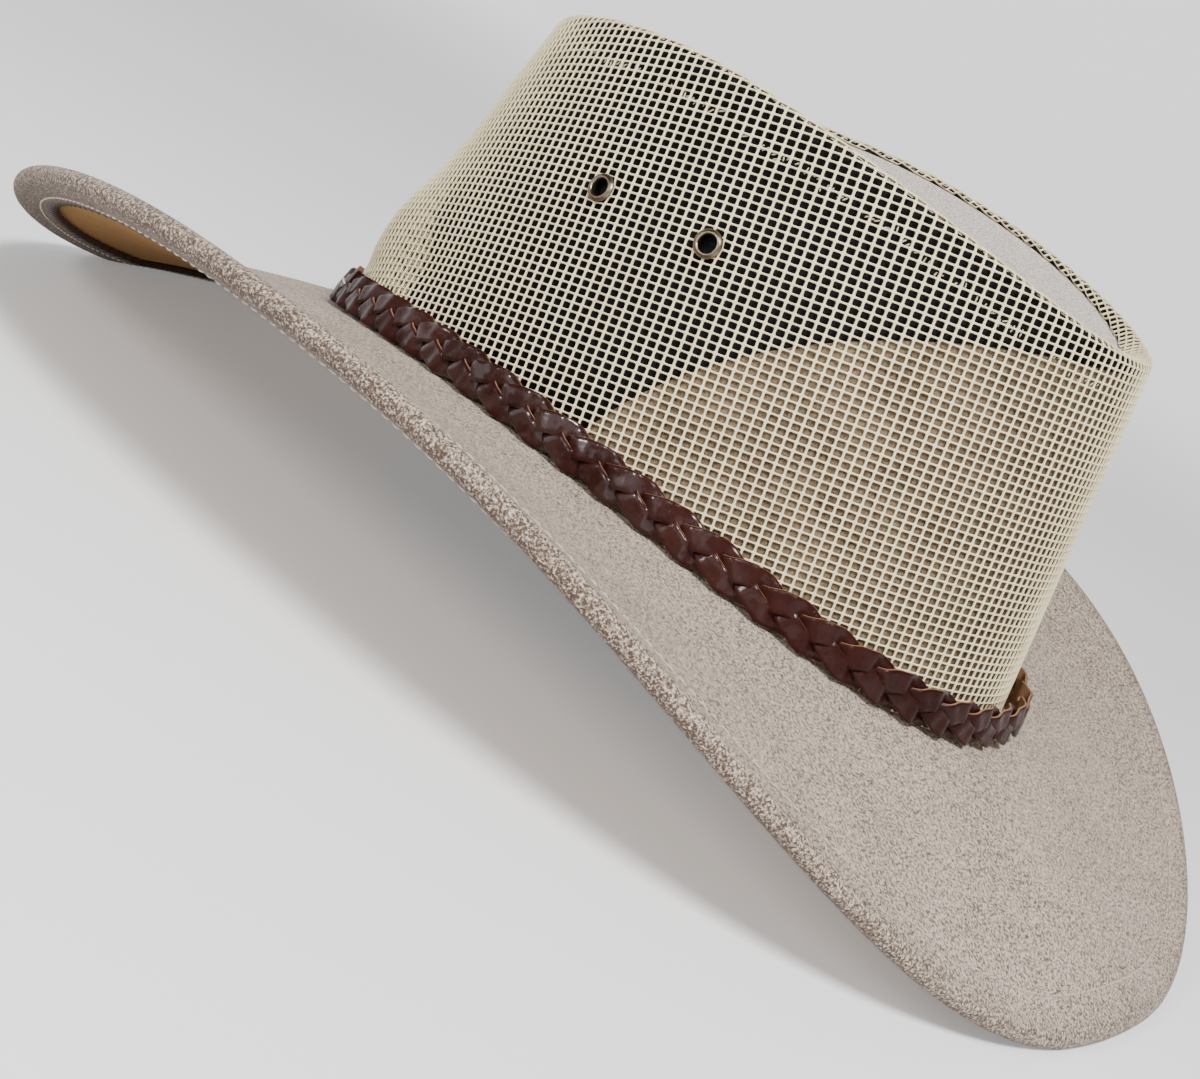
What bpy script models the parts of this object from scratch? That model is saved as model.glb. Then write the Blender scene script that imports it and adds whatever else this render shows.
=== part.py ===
"""An outback hat: suede brim, open-net crown, plaited leather band and side eyelets.

Metres, +Z up, +X to the front of the hat, +Y to the wearer's left. The hat rests on
z = 0 by the front and the back of its brim, as it would on a table.

Everything round the head is worked out from three closed lines: the crown's base, the
crown's ridge and the brim's edge. Each line is a function of the angle t, which is 0 at
the front and 90 degrees at the wearer's left.
"""

import math

import bmesh
import bpy
import numpy as np
from mathutils import Matrix, Vector

# Steps round the head.
STEPS = 60

# The crown's base line, where the net meets the brim.
BASE_FRONT_LENGTH = 0.1098
BASE_BACK_LENGTH = 0.1082
BASE_HALF_WIDTH = 0.0836
BASE_SIDE_HEIGHT = 0.0481
BASE_FRONT_DIP = 0.0135
BASE_BACK_DIP = 0.0180

# The crown's ridge line, its highest line.
RIDGE_FRONT_LENGTH = 0.0931
RIDGE_BACK_LENGTH = 0.0915
RIDGE_HALF_WIDTH = 0.0690
RIDGE_SIDE_HEIGHT = 0.1447
RIDGE_FRONT_DIP = 0.0104
RIDGE_BACK_DIP = 0.0168

# The brim's edge line, the middle of its rolled edge.
BRIM_FRONT_REACH = 0.1762
BRIM_BACK_REACH = 0.1862
BRIM_HALF_WIDTH = 0.1650
BRIM_SIDE_RISE = 0.0585
BRIM_FULLNESS = 2.25
BRIM_FRONT_POWER = 2.25
BRIM_BACK_POWER = 1.88
BRIM_REST_SPREAD = math.radians(10.0)
BRIM_FRONT_BOW = 0.0030
BRIM_SIDE_BOW = -0.0040

# Layers of the brim.
ROLL_RADIUS = 0.00275
SKIN = 0.0016
GAP = 0.0003
HEM_WIDTH = 0.0085
REST_PRESS = 0.0006
COLLAR_SHARE = 0.115

# Layers of the crown, from the outside in.
NET = 0.0012
STIFFENER = 0.0010
LINING = 0.0010
RIDGE_RADIUS = 0.0026
LIP_SLOPE = math.radians(45.0)
LIP_SIDE_DEPTH = 0.0016
LIP_FRONT_DEPTH = 0.0045
LIP_BACK_DEPTH = 0.0045
PANEL = 0.0015
PANEL_SAG = 0.0080
LINING_TOP_SHARE = 0.93

# The stiffener's arch behind the front of the net.
ARCH_HALF_SPREAD = math.radians(82.0)
ARCH_TOP_SHARE = 0.95
ARCH_POWER = 0.6

# The plaited band.
BAND_WIDTH = 0.0106
BAND_THICKNESS = 0.0032
BAND_LEAVES = 54
BAND_STEPS_PER_LEAF = 3
BAND_SCALLOP = 0.0009
BAND_FOOT = 0.0004

# Where the band stands off the net: its angle, its spread and how far.
BAND_LOOSE_ANGLE = math.radians(17.0)
BAND_LOOSE_SPREAD = math.radians(11.0)
BAND_LOOSE_DEPTH = 0.0026

# The eyelets, two on each side.
EYELET_SIDE_SPREAD = math.radians(9.5)
EYELET_FRONT_SHARE = 0.63
EYELET_BACK_SHARE = 0.60
EYELET_OUTER_RADIUS = 0.0036
EYELET_HOLE_RADIUS = 0.0021
EYELET_WALL = 0.0004
EYELET_RIM = 0.0006
EYELET_STEPS = 16

# Shares of the way out over the brim's top.
BRIM_STATIONS = (0.0, 0.22, 0.46, 0.72)

# Shares of the way up the crown.
CROWN_STATIONS = (0.0, 0.12, 0.26, 0.42, 0.70)

# Soft swells and creases of the net's wall. Columns: angle and spread in degrees, share
# of the way up and its spread, depth in metres, outward.
NET_FOLDS = (
    (-148.0, 13.0, 0.30, 0.16, 0.0030),
    (-122.0, 6.0, 0.24, 0.12, -0.0008),
)

# Shares of the radius of the crown's top panel, rim first.
PANEL_RINGS = (1.0, 0.72, 0.4)

# One eyelet's turned outline. Columns: share of the flange's reach beyond the hole,
# place along the axis, what that place is measured from.
EYELET_OUTLINE = (
    (0.00, 0.6, "front"),
    (0.45, 1.0, "front"),
    (0.95, 0.6, "front"),
    (1.00, 0.0, "front"),
    (0.00, 0.0, "front_barrel"),
    (0.00, 0.0, "back_barrel"),
    (0.85, 0.0, "back"),
    (0.00, 1.0, "back"),
)

# Surface finishes. Columns: red, green, blue, roughness, metallic.
FINISHES = {
    "taupe_suede": (0.53, 0.45, 0.39, 0.92, 0.0),
    "tan_facing": (0.50, 0.33, 0.17, 0.80, 0.0),
    "ivory_net": (0.72, 0.68, 0.54, 0.60, 0.0),
    "cream_backing": (0.62, 0.54, 0.40, 0.85, 0.0),
    "black_lining": (0.02, 0.02, 0.02, 0.90, 0.0),
    "maroon_leather": (0.10, 0.03, 0.025, 0.35, 0.0),
    "aged_brass": (0.22, 0.15, 0.09, 0.40, 0.9),
}


def clear_scene():
    """Remove every object that the start-up scene holds."""
    for item in list(bpy.data.objects):
        bpy.data.objects.remove(item, do_unlink=True)


def make_collection(name):
    """Return a new collection linked to the scene."""
    group = bpy.data.collections.new(name)
    bpy.context.scene.collection.children.link(group)
    return group


def finish_material(name):
    """Return a Principled material for one of FINISHES."""
    red, green, blue, rough, metal = FINISHES[name]
    material = bpy.data.materials.new(name)
    material.use_nodes = True
    shader = material.node_tree.nodes["Principled BSDF"]
    shader.inputs["Base Color"].default_value = (red, green, blue, 1.0)
    shader.inputs["Roughness"].default_value = rough
    shader.inputs["Metallic"].default_value = metal
    return material


def add_object(name, mesh, group, finish):
    """Link a mesh as a named object with its own material."""
    item = bpy.data.objects.new(name, mesh)
    group.objects.link(item)
    if finish:
        mesh.materials.append(finish_material(finish))
    return item


def middle_shift():
    """Return how far forward the hat moves to stand with its middle over the origin."""
    return (BRIM_BACK_REACH - BRIM_FRONT_REACH) / 2.0


def mesh_from(name, points, faces):
    """Return a mesh with every face turned outwards."""
    mesh = bpy.data.meshes.new(name)
    shift = middle_shift()
    mesh.from_pydata([(x + shift, y, z) for x, y, z in points], [], faces)
    work = bmesh.new()
    work.from_mesh(mesh)
    bmesh.ops.recalc_face_normals(work, faces=work.faces)
    work.to_mesh(mesh)
    work.free()
    return mesh


def ring_mesh(name, rings):
    """Return the closed skin through rings of shape (steps, section points, 3)."""
    steps, count = rings.shape[:2]
    reach = np.linalg.norm(rings[..., :2], axis=-1).mean(0)
    faces = []
    for i in range(steps):
        j = (i + 1) % steps
        for k in range(count):
            m = (k + 1) % count
            faces += split_quad(i * count, j * count, k, m, reach[k] > reach[m])
    return mesh_from(name, rings.reshape(-1, 3), faces)


def split_quad(here, there, k, m, k_is_outer):
    """Return a quad's two triangles, cut the same way in every layer of the hat."""
    if k_is_outer:
        return [(here + k, there + k, there + m), (here + k, there + m, here + m)]
    return [(here + k, there + k, here + m), (there + k, there + m, here + m)]


def strip_mesh(name, rings):
    """Return the closed skin through rings, capped at the first and the last."""
    steps, count = rings.shape[:2]
    faces = [tuple(range(count)), tuple((steps - 1) * count + k for k in range(count))]
    for i in range(steps - 1):
        for k in range(count):
            m = (k + 1) % count
            row = i * count
            faces.append((row + k, row + count + k, row + count + m, row + m))
    return mesh_from(name, rings.reshape(-1, 3), faces)


def fore_and_aft(t, front, back):
    """Return the front value where t faces front and the back value where it doesn't."""
    return np.where(np.cos(t) > 0.0, front, back)


def signed_power(value, power):
    """Return the value's size raised to a power, with the value's own sign."""
    return np.sign(value) * np.abs(value) ** power


def oval(t, half_length, half_width):
    """Return plan points of an oval and its outward plan normals."""
    plan = np.stack([half_length * np.cos(t), half_width * np.sin(t)], -1)
    normal = np.stack([half_width * np.cos(t), half_length * np.sin(t)], -1)
    return plan, normal / np.linalg.norm(normal, axis=-1, keepdims=True)


def base_oval(t):
    """Return plan points and normals of the crown's base line."""
    return oval(t, fore_and_aft(t, BASE_FRONT_LENGTH, BASE_BACK_LENGTH), BASE_HALF_WIDTH)


def ridge_oval(t):
    """Return plan points and normals of the crown's ridge line."""
    return oval(t, fore_and_aft(t, RIDGE_FRONT_LENGTH, RIDGE_BACK_LENGTH), RIDGE_HALF_WIDTH)


def base_height(t):
    """Return the height of the crown's base line."""
    dip = fore_and_aft(t, BASE_FRONT_DIP, BASE_BACK_DIP)
    return BASE_SIDE_HEIGHT - dip * np.cos(t) ** 2


def ridge_height(t):
    """Return the height of the crown's ridge line."""
    dip = fore_and_aft(t, RIDGE_FRONT_DIP, RIDGE_BACK_DIP)
    return RIDGE_SIDE_HEIGHT - dip * np.cos(t) ** 2


def wall_point(t, share, inset):
    """Return points a share of the way up the crown's wall, moved in by inset."""
    low = fore_and_aft(t, BASE_FRONT_LENGTH, BASE_BACK_LENGTH)
    high = fore_and_aft(t, RIDGE_FRONT_LENGTH, RIDGE_BACK_LENGTH)
    length = low + (high - low) * share
    width = BASE_HALF_WIDTH + (RIDGE_HALF_WIDTH - BASE_HALF_WIDTH) * share
    plan, normal = oval(t, length, width)
    plan = plan - normal * inset
    height = base_height(t) + GAP
    height = height + (ridge_height(t) - height) * share
    return np.concatenate([plan, height[..., None]], -1)


def net_swell(t, share):
    """Return how far the net's wall stands out of its plain form."""
    swell = np.zeros_like(t)
    for angle, spread, middle, height_spread, depth in NET_FOLDS:
        around = (t - math.radians(angle)) / math.radians(spread)
        along = (share - middle) / height_spread
        swell = swell + depth * np.exp(-around ** 2 - along ** 2)
    return swell * (share > CROWN_STATIONS[1])


def net_point(t, share, inset):
    """Return points of the net's wall with its soft folds."""
    return wall_point(t, share, inset - net_swell(t, share)[:, None])


def wall_lean(t):
    """Return how far the crown's wall leans inward from upright."""
    base, _ = base_oval(t)
    ridge, normal = ridge_oval(t)
    inward = ((base - ridge) * normal).sum(-1)
    return np.arctan2(inward, ridge_height(t) - base_height(t))


def ridge_point(t, inward, rise):
    """Return points placed from the ridge line: a way inward and a rise."""
    plan, normal = ridge_oval(t)
    plan = plan - normal * inward[..., None]
    height = ridge_height(t) + rise
    return np.concatenate([plan, height[..., None]], -1)


def lip_depth(t):
    """Return how far below the ridge the net's turned-in lip ends."""
    end = fore_and_aft(t, LIP_FRONT_DEPTH, LIP_BACK_DEPTH)
    return LIP_SIDE_DEPTH + (end - LIP_SIDE_DEPTH) * np.abs(np.cos(t)) ** 3


def ridge_centre(t):
    """Return the centre of the ridge's round, as a way inward and a rise."""
    lean = wall_lean(t)
    foot = -RIDGE_RADIUS * (1.0 - np.sin(lean))
    return np.tan(lean) * foot + RIDGE_RADIUS * np.cos(lean), foot - RIDGE_RADIUS * np.sin(lean)


def fold_point(t, turn, radius):
    """Return points on the ridge's round: turn runs from 0 at the wall to 1 at the lip."""
    lean = wall_lean(t)
    angle = lean + (math.radians(90.0) + LIP_SLOPE - lean) * turn
    inward, rise = ridge_centre(t)
    return ridge_point(t, inward - radius * np.cos(angle), rise + radius * np.sin(angle))


def lip_end(t):
    """Return where the lip's upper face ends, as a way inward and a rise."""
    inward, rise = ridge_centre(t)
    start_in = inward + RIDGE_RADIUS * math.sin(LIP_SLOPE)
    start_rise = rise + RIDGE_RADIUS * math.cos(LIP_SLOPE)
    drop = np.maximum(start_rise + lip_depth(t), GAP)
    return start_in + drop / math.tan(LIP_SLOPE), start_rise - drop


def brim_edge(t):
    """Return the brim's edge line."""
    reach = fore_and_aft(t, BRIM_FRONT_REACH, BRIM_BACK_REACH)
    power = 2.0 / BRIM_FULLNESS
    along = reach * signed_power(np.cos(t), power)
    across = BRIM_HALF_WIDTH * signed_power(np.sin(t), power)
    flat = math.sin(BRIM_REST_SPREAD) ** 2
    rise = np.clip((np.sin(t) ** 2 - flat) / (1.0 - flat), 0.0, 1.0)
    curve = fore_and_aft(t, BRIM_FRONT_POWER, BRIM_BACK_POWER)
    height = ROLL_RADIUS - REST_PRESS + BRIM_SIDE_RISE * rise ** (curve / 2.0)
    return np.stack([along, across, height], -1)


def brim_frame(t, share):
    """Return points of the brim's middle layer with their outward and upward directions."""
    base, _ = base_oval(t)
    edge = brim_edge(t)
    way = edge[..., :2] - base
    reach = np.linalg.norm(way, axis=-1)
    out = way / reach[..., None]
    start = base_height(t) - ROLL_RADIUS
    bow = BRIM_SIDE_BOW + (BRIM_FRONT_BOW - BRIM_SIDE_BOW) * np.cos(t) ** 2
    height = start + (edge[..., 2] - start) * share + bow * 4.0 * share * (1.0 - share)
    slope = (edge[..., 2] - start + bow * 4.0 * (1.0 - 2.0 * share)) / reach
    size = np.sqrt(1.0 + slope ** 2)
    plan = base + way * np.asarray(share)[..., None]
    middle = np.concatenate([plan, height[..., None]], -1)
    outward = np.concatenate([out, slope[..., None]], -1) / size[..., None]
    upward = np.concatenate([-out * slope[..., None], np.ones_like(slope)[..., None]], -1)
    return middle, outward, upward / size[..., None]


def brim_point(t, share, lift):
    """Return points above the brim's middle layer by lift."""
    middle, _, upward = brim_frame(t, share)
    return middle + upward * lift


def roll_point(t, degrees, radius):
    """Return points round the brim's edge: 90 is its top and -90 its underside."""
    middle, outward, upward = brim_frame(t, 1.0)
    angle = math.radians(degrees)
    return middle + (outward * math.cos(angle) + upward * math.sin(angle)) * radius


def hem_point(t, way_in, lift):
    """Return points of the turned hem, a way in from the edge line."""
    base, _ = base_oval(t)
    share = 1.0 - way_in / np.linalg.norm(brim_edge(t)[..., :2] - base, axis=-1)
    inner, _, inner_up = brim_frame(t, share)
    return inner + inner_up * lift


def inner_point(t, inset, rise):
    """Return points inside the crown's base line, moved in by inset and up by rise."""
    plan, normal = base_oval(t)
    height = base_height(t) + rise
    return np.concatenate([plan - normal * inset, height[..., None]], -1)


def section(points):
    """Stack a section's points, each of shape (steps, 3), into rings."""
    return np.stack(points, 1)


def layer_insets():
    """Return the insets of the stiffener, the lining and the brim's collar."""
    stiffener = NET + GAP
    lining = stiffener + STIFFENER + GAP
    collar = lining + LINING + GAP
    return stiffener, lining, collar


def brim_mesh(t):
    """Return the suede skin: collar, top, rolled edge and hem in one closed sheet."""
    collar = layer_insets()[2]
    inside = ROLL_RADIUS - SKIN
    points = [
        wall_point(t, COLLAR_SHARE, collar + SKIN),
        wall_point(t, COLLAR_SHARE, collar),
        inner_point(t, collar, 0.0),
    ]
    points += [brim_point(t, share, ROLL_RADIUS) for share in BRIM_STATIONS]
    points += [hem_point(t, HEM_WIDTH, ROLL_RADIUS)]
    points += [roll_point(t, angle, ROLL_RADIUS) for angle in (90, 55, 20, -15, -45, -70, -90)]
    points += [hem_point(t, HEM_WIDTH, -ROLL_RADIUS), hem_point(t, HEM_WIDTH, -inside)]
    points += [roll_point(t, angle, inside) for angle in (-90, -30, 30, 90)]
    points += [hem_point(t, HEM_WIDTH, inside)]
    points += [brim_point(t, share, inside) for share in reversed(BRIM_STATIONS)]
    points += [inner_point(t, collar + SKIN * 0.5, -SKIN), inner_point(t, collar + SKIN, -SKIN * 0.5)]
    rings = section(points)
    rings[..., 2] = np.maximum(rings[..., 2], 0.0)
    return ring_mesh("brim", rings)


def facing_mesh(t):
    """Return the tan layer between the suede skin and its hem."""
    half = ROLL_RADIUS - SKIN - GAP
    inner = layer_insets()[2] + SKIN
    points = [inner_point(t, inner, -ROLL_RADIUS - half), inner_point(t, inner, -ROLL_RADIUS + half)]
    points += [brim_point(t, share, half) for share in BRIM_STATIONS]
    points += [hem_point(t, HEM_WIDTH, half)]
    points += [roll_point(t, angle, half) for angle in (90, 35, -35, -90)]
    points += [hem_point(t, HEM_WIDTH, -half)]
    points += [brim_point(t, share, -half) for share in reversed(BRIM_STATIONS)]
    return ring_mesh("brim_facing", section(points))


def net_mesh(t):
    """Return the net's wall with its turned-in lip, as a sheet of the net's thickness."""
    inward, rise = lip_end(t)
    under_in = inward - NET * math.sin(LIP_SLOPE)
    under_rise = rise - NET * math.cos(LIP_SLOPE)
    turns = (0.0, 0.35, 0.7, 1.0)
    points = [net_point(t, share, 0.0) for share in CROWN_STATIONS]
    points += [fold_point(t, turn, RIDGE_RADIUS) for turn in turns]
    points += [ridge_point(t, inward, rise), ridge_point(t, under_in, under_rise)]
    points += [fold_point(t, turn, RIDGE_RADIUS - NET) for turn in reversed(turns)]
    points += [net_point(t, share, NET) for share in reversed(CROWN_STATIONS)]
    return ring_mesh("crown_net", section(points))


def panel_mesh(t):
    """Return the dished suede panel inside the net's lip."""
    inward, rise = lip_end(t)
    rim = ridge_point(t, inward + GAP, rise)
    centre = np.array([0.0, 0.0, rim[:, 2].mean() - PANEL_SAG])
    points = []
    for drop in (0.0, PANEL):
        for share in PANEL_RINGS:
            ring = centre + (rim - centre) * share
            ring[:, 2] = centre[2] + (rim[:, 2] - centre[2]) * share ** 2 - drop
            points.append(ring)
    points = np.concatenate(points + [centre[None], centre[None] - (0.0, 0.0, PANEL)])
    steps = len(t)
    rings = len(PANEL_RINGS)
    faces = []
    for i in range(steps):
        j = (i + 1) % steps
        for layer in range(2):
            for k in range(rings - 1):
                row = (layer * rings + k) * steps
                faces.append((row + i, row + j, row + steps + j, row + steps + i))
            last = (layer * rings + rings - 1) * steps
            faces.append((last + i, last + j, 2 * rings * steps + layer))
        faces.append((i, j, rings * steps + j, rings * steps + i))
    return mesh_from("crown_top", points, faces)


def lining_mesh(t):
    """Return the black lining inside the net."""
    outer = layer_insets()[1]
    inner = outer + LINING
    ends = (0.0, LINING_TOP_SHARE)
    points = [wall_point(t, share, outer) for share in ends]
    points += [wall_point(t, share, inner) for share in reversed(ends)]
    return ring_mesh("crown_lining", section(points))


def stiffener_mesh(t):
    """Return the cream backing: an arch behind the front of the net."""
    outer = layer_insets()[0]
    inner = outer + STIFFENER
    spread = t[np.abs(t) < ARCH_HALF_SPREAD * 0.97]
    end = ARCH_HALF_SPREAD * 0.99
    spread = np.concatenate([[-end], np.sort(spread), [end]])
    top = ARCH_TOP_SHARE * (1.0 - (spread / ARCH_HALF_SPREAD) ** 2) ** ARCH_POWER
    low = np.zeros_like(top)
    points = [
        wall_point(spread, low, outer),
        wall_point(spread, top, outer),
        wall_point(spread, top, inner),
        wall_point(spread, low, inner),
    ]
    return strip_mesh("front_stiffener", section(points))


def band_mesh():
    """Return the plaited band as one scalloped ring round the crown's base."""
    steps = BAND_LEAVES * BAND_STEPS_PER_LEAF
    t = even_angles(steps)
    phase = np.arange(steps) / BAND_STEPS_PER_LEAF * 2.0 * math.pi
    upper = BAND_SCALLOP * (0.5 + 0.5 * np.cos(phase))
    lower = BAND_SCALLOP * (0.5 - 0.5 * np.cos(phase))
    slant = np.tan(wall_lean(t))
    half = BAND_WIDTH / 2.0
    turn = (t - BAND_LOOSE_ANGLE + math.pi) % (2.0 * math.pi) - math.pi
    loose = BAND_LOOSE_DEPTH * np.exp(-(turn / BAND_LOOSE_SPREAD) ** 2)

    def place(away, rise):
        """Return points a way off the wall and a rise over the band's foot."""
        inset = slant * rise - GAP - loose - away
        plan, normal = base_oval(t)
        height = base_height(t) + GAP + BAND_FOOT + rise
        return np.concatenate([plan - normal * inset[:, None], height[:, None]], -1)

    flat = np.zeros(steps)
    points = [
        place(flat, half * 0.12 + lower),
        place(flat + BAND_THICKNESS * 0.8, lower),
        place(flat + BAND_THICKNESS, flat + half),
        place(flat + BAND_THICKNESS * 0.8, BAND_WIDTH - upper),
        place(flat, BAND_WIDTH - half * 0.12 - upper),
    ]
    return ring_mesh("hat_band", section(points))


def even_angles(steps):
    """Return angles that cut the base line into even lengths, the first at the front."""
    fine = np.linspace(0.0, 2.0 * math.pi, 4001)
    plan, _ = base_oval(fine)
    run = np.concatenate([[0.0], np.cumsum(np.linalg.norm(np.diff(plan, axis=0), axis=1))])
    return np.interp(np.arange(steps) / steps * run[-1], run, fine)


def eyelet_place(t):
    """Return the matrix that puts +Z along the wall's outward normal at an eyelet."""
    angle = np.array([t])
    share = fore_and_aft(t, EYELET_FRONT_SHARE, EYELET_BACK_SHARE)
    here = wall_point(angle, share, 0.0)[0]
    above = wall_point(angle, share + 0.05, 0.0)[0]
    beside = wall_point(angle + 0.01, share, 0.0)[0]
    normal = Vector(beside - here).cross(Vector(above - here)).normalized()
    turn = normal.to_track_quat("Z", "Y").to_matrix().to_4x4()
    return Matrix.Translation(Vector(here) + Vector((middle_shift(), 0.0, 0.0))) @ turn


def eyelet_outline():
    """Return the eyelet's turned outline as radius and height pairs."""
    reach = EYELET_OUTER_RADIUS - EYELET_HOLE_RADIUS
    barrel = EYELET_HOLE_RADIUS + EYELET_WALL
    places = {
        "front": (EYELET_HOLE_RADIUS, GAP, EYELET_RIM * 1.4),
        "front_barrel": (barrel, GAP, 0.0),
        "back_barrel": (barrel, -NET - GAP, 0.0),
        "back": (EYELET_HOLE_RADIUS, -NET - GAP, -EYELET_RIM),
    }
    outline = []
    for share, along, place in EYELET_OUTLINE:
        radius, start, depth = places[place]
        outline.append((radius + reach * share, start + depth * along))
    return outline


def eyelet_mesh(name):
    """Return the eyelet's outline as a mesh of edges, ready to be turned."""
    outline = eyelet_outline()
    mesh = bpy.data.meshes.new(name)
    edges = [(i, (i + 1) % len(outline)) for i in range(len(outline))]
    mesh.from_pydata([(radius, 0.0, height) for radius, height in outline], edges, [])
    return mesh


def add_eyelet(name, t, group, cutters, net):
    """Add one turned eyelet and its hole in the net."""
    item = add_object(name, eyelet_mesh(name), group, "aged_brass")
    item.matrix_world = eyelet_place(t)
    screw = item.modifiers.new("turn", "SCREW")
    screw.axis = "Z"
    screw.angle = 2.0 * math.pi
    screw.steps = EYELET_STEPS
    screw.render_steps = EYELET_STEPS
    screw.use_merge_vertices = True
    screw.merge_threshold = 0.00001
    cutter_mesh = bpy.data.meshes.new(name + "_hole")
    work = bmesh.new()
    hole = EYELET_HOLE_RADIUS + EYELET_WALL + GAP
    depth = NET * 6.0
    bmesh.ops.create_cone(
        work, cap_ends=True, segments=EYELET_STEPS, radius1=hole, radius2=hole, depth=depth
    )
    work.to_mesh(cutter_mesh)
    work.free()
    cutter = bpy.data.objects.new(name + "_hole", cutter_mesh)
    cutters.objects.link(cutter)
    cutter.matrix_world = eyelet_place(t)
    cutter.display_type = "WIRE"
    cutter.hide_render = True
    cut = net.modifiers.new(name + "_hole", "BOOLEAN")
    cut.operation = "DIFFERENCE"
    cut.solver = "EXACT"
    cut.object = cutter


def main():
    """Build the hat."""
    clear_scene()
    hat = make_collection("outback_hat")
    cutters = make_collection("cutters")
    t = (np.arange(STEPS) / STEPS * 2.0 - 1.0) * math.pi
    add_object("brim", brim_mesh(t), hat, "taupe_suede")
    add_object("brim_facing", facing_mesh(t), hat, "tan_facing")
    net = add_object("crown_net", net_mesh(t), hat, "ivory_net")
    add_object("crown_top", panel_mesh(t), hat, "taupe_suede")
    add_object("crown_lining", lining_mesh(t), hat, "black_lining")
    add_object("front_stiffener", stiffener_mesh(t), hat, "cream_backing")
    add_object("hat_band", band_mesh(), hat, "maroon_leather")
    for side, middle in (("right", -0.5 * math.pi), ("left", 0.5 * math.pi)):
        lead = EYELET_SIDE_SPREAD * -math.copysign(1.0, middle)
        add_eyelet("eyelet_" + side + "_front", middle + lead, hat, cutters, net)
        add_eyelet("eyelet_" + side + "_back", middle - lead, hat, cutters, net)


main()
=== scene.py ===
"""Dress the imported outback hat: suede brim, open net crown, leather plait and eyelets.

Metres, +Z up, +X to the front of the hat, +Y to the wearer's left. Every surface is
worked out from the crown's base line, its ridge line and the brim's edge line, each a
function of the angle t, which is 0 at the front and 90 degrees at the wearer's left.
"""

import logging
import math
from dataclasses import dataclass, field
from enum import Enum

import bpy
import numpy as np
from mathutils import Matrix, Vector


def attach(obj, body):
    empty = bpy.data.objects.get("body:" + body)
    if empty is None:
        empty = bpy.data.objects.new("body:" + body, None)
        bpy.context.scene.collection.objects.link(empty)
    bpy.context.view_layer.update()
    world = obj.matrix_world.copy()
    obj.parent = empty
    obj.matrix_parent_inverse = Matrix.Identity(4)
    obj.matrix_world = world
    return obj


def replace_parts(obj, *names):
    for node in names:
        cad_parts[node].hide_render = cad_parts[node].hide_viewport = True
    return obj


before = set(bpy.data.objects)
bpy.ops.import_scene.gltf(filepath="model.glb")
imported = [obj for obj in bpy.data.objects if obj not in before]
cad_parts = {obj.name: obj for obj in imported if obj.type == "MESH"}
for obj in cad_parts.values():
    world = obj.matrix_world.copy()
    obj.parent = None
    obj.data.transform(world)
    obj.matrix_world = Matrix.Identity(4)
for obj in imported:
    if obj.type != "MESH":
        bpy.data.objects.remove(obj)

LOG = logging.getLogger("outback_hat")


class Axis(Enum):
    """How a surface's grid closes on itself."""

    OPEN = "open"
    AROUND = "around"
    BOTH = "both"


# ---------------------------------------------------------------------------
# Shader maths and node making
# ---------------------------------------------------------------------------


class Value:
    """A number in a material, with the operators that add Math nodes."""

    def __init__(self, nodes: "NodeBench", socket: bpy.types.NodeSocket) -> None:
        """Keep the socket and the bench that makes its nodes."""
        self.nodes = nodes
        self.socket = socket

    def _math(self, operation: str, first: object, second: object = 0.0) -> "Value":
        """Return the result of one Math node.

        Args:
            operation: The node's operation.
            first: A Value or a number.
            second: A Value or a number.

        Returns:
            The node's output as a Value.
        """
        return self.nodes.value("ShaderNodeMath", {"operation": operation}, {0: first, 1: second})

    def __add__(self, other: object) -> "Value":
        """Add a value or a number."""
        return self._math("ADD", self, other)

    def __radd__(self, other: object) -> "Value":
        """Add to a number."""
        return self._math("ADD", other, self)

    def __sub__(self, other: object) -> "Value":
        """Subtract a value or a number."""
        return self._math("SUBTRACT", self, other)

    def __rsub__(self, other: object) -> "Value":
        """Subtract from a number."""
        return self._math("SUBTRACT", other, self)

    def __mul__(self, other: object) -> "Value":
        """Multiply by a value or a number."""
        return self._math("MULTIPLY", self, other)

    def __rmul__(self, other: object) -> "Value":
        """Multiply a number."""
        return self._math("MULTIPLY", other, self)

    def __truediv__(self, other: object) -> "Value":
        """Divide by a value or a number."""
        return self._math("DIVIDE", self, other)

    def power(self, other: object) -> "Value":
        """Raise to a power."""
        return self._math("POWER", self, other)

    def above(self, other: object) -> "Value":
        """Return 1 where this is greater than the other."""
        return self._math("GREATER_THAN", self, other)

    def low(self, other: object) -> "Value":
        """Return the smaller of the two."""
        return self._math("MINIMUM", self, other)

    def high(self, other: object) -> "Value":
        """Return the larger of the two."""
        return self._math("MAXIMUM", self, other)

    def sine(self) -> "Value":
        """Return the sine."""
        return self._math("SINE", self)

    def ramp(self, start: float, end: float) -> "Value":
        """Return a smooth step that is 0 at start and 1 at end.

        Args:
            start: Where the step begins.
            end: Where the step is full.

        Returns:
            The step as a Value.
        """
        settings = {"interpolation_type": "SMOOTHSTEP", "clamp": True}
        inputs = {"Value": self, "From Min": start, "From Max": end}
        return self.nodes.value("ShaderNodeMapRange", settings, inputs)


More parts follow.
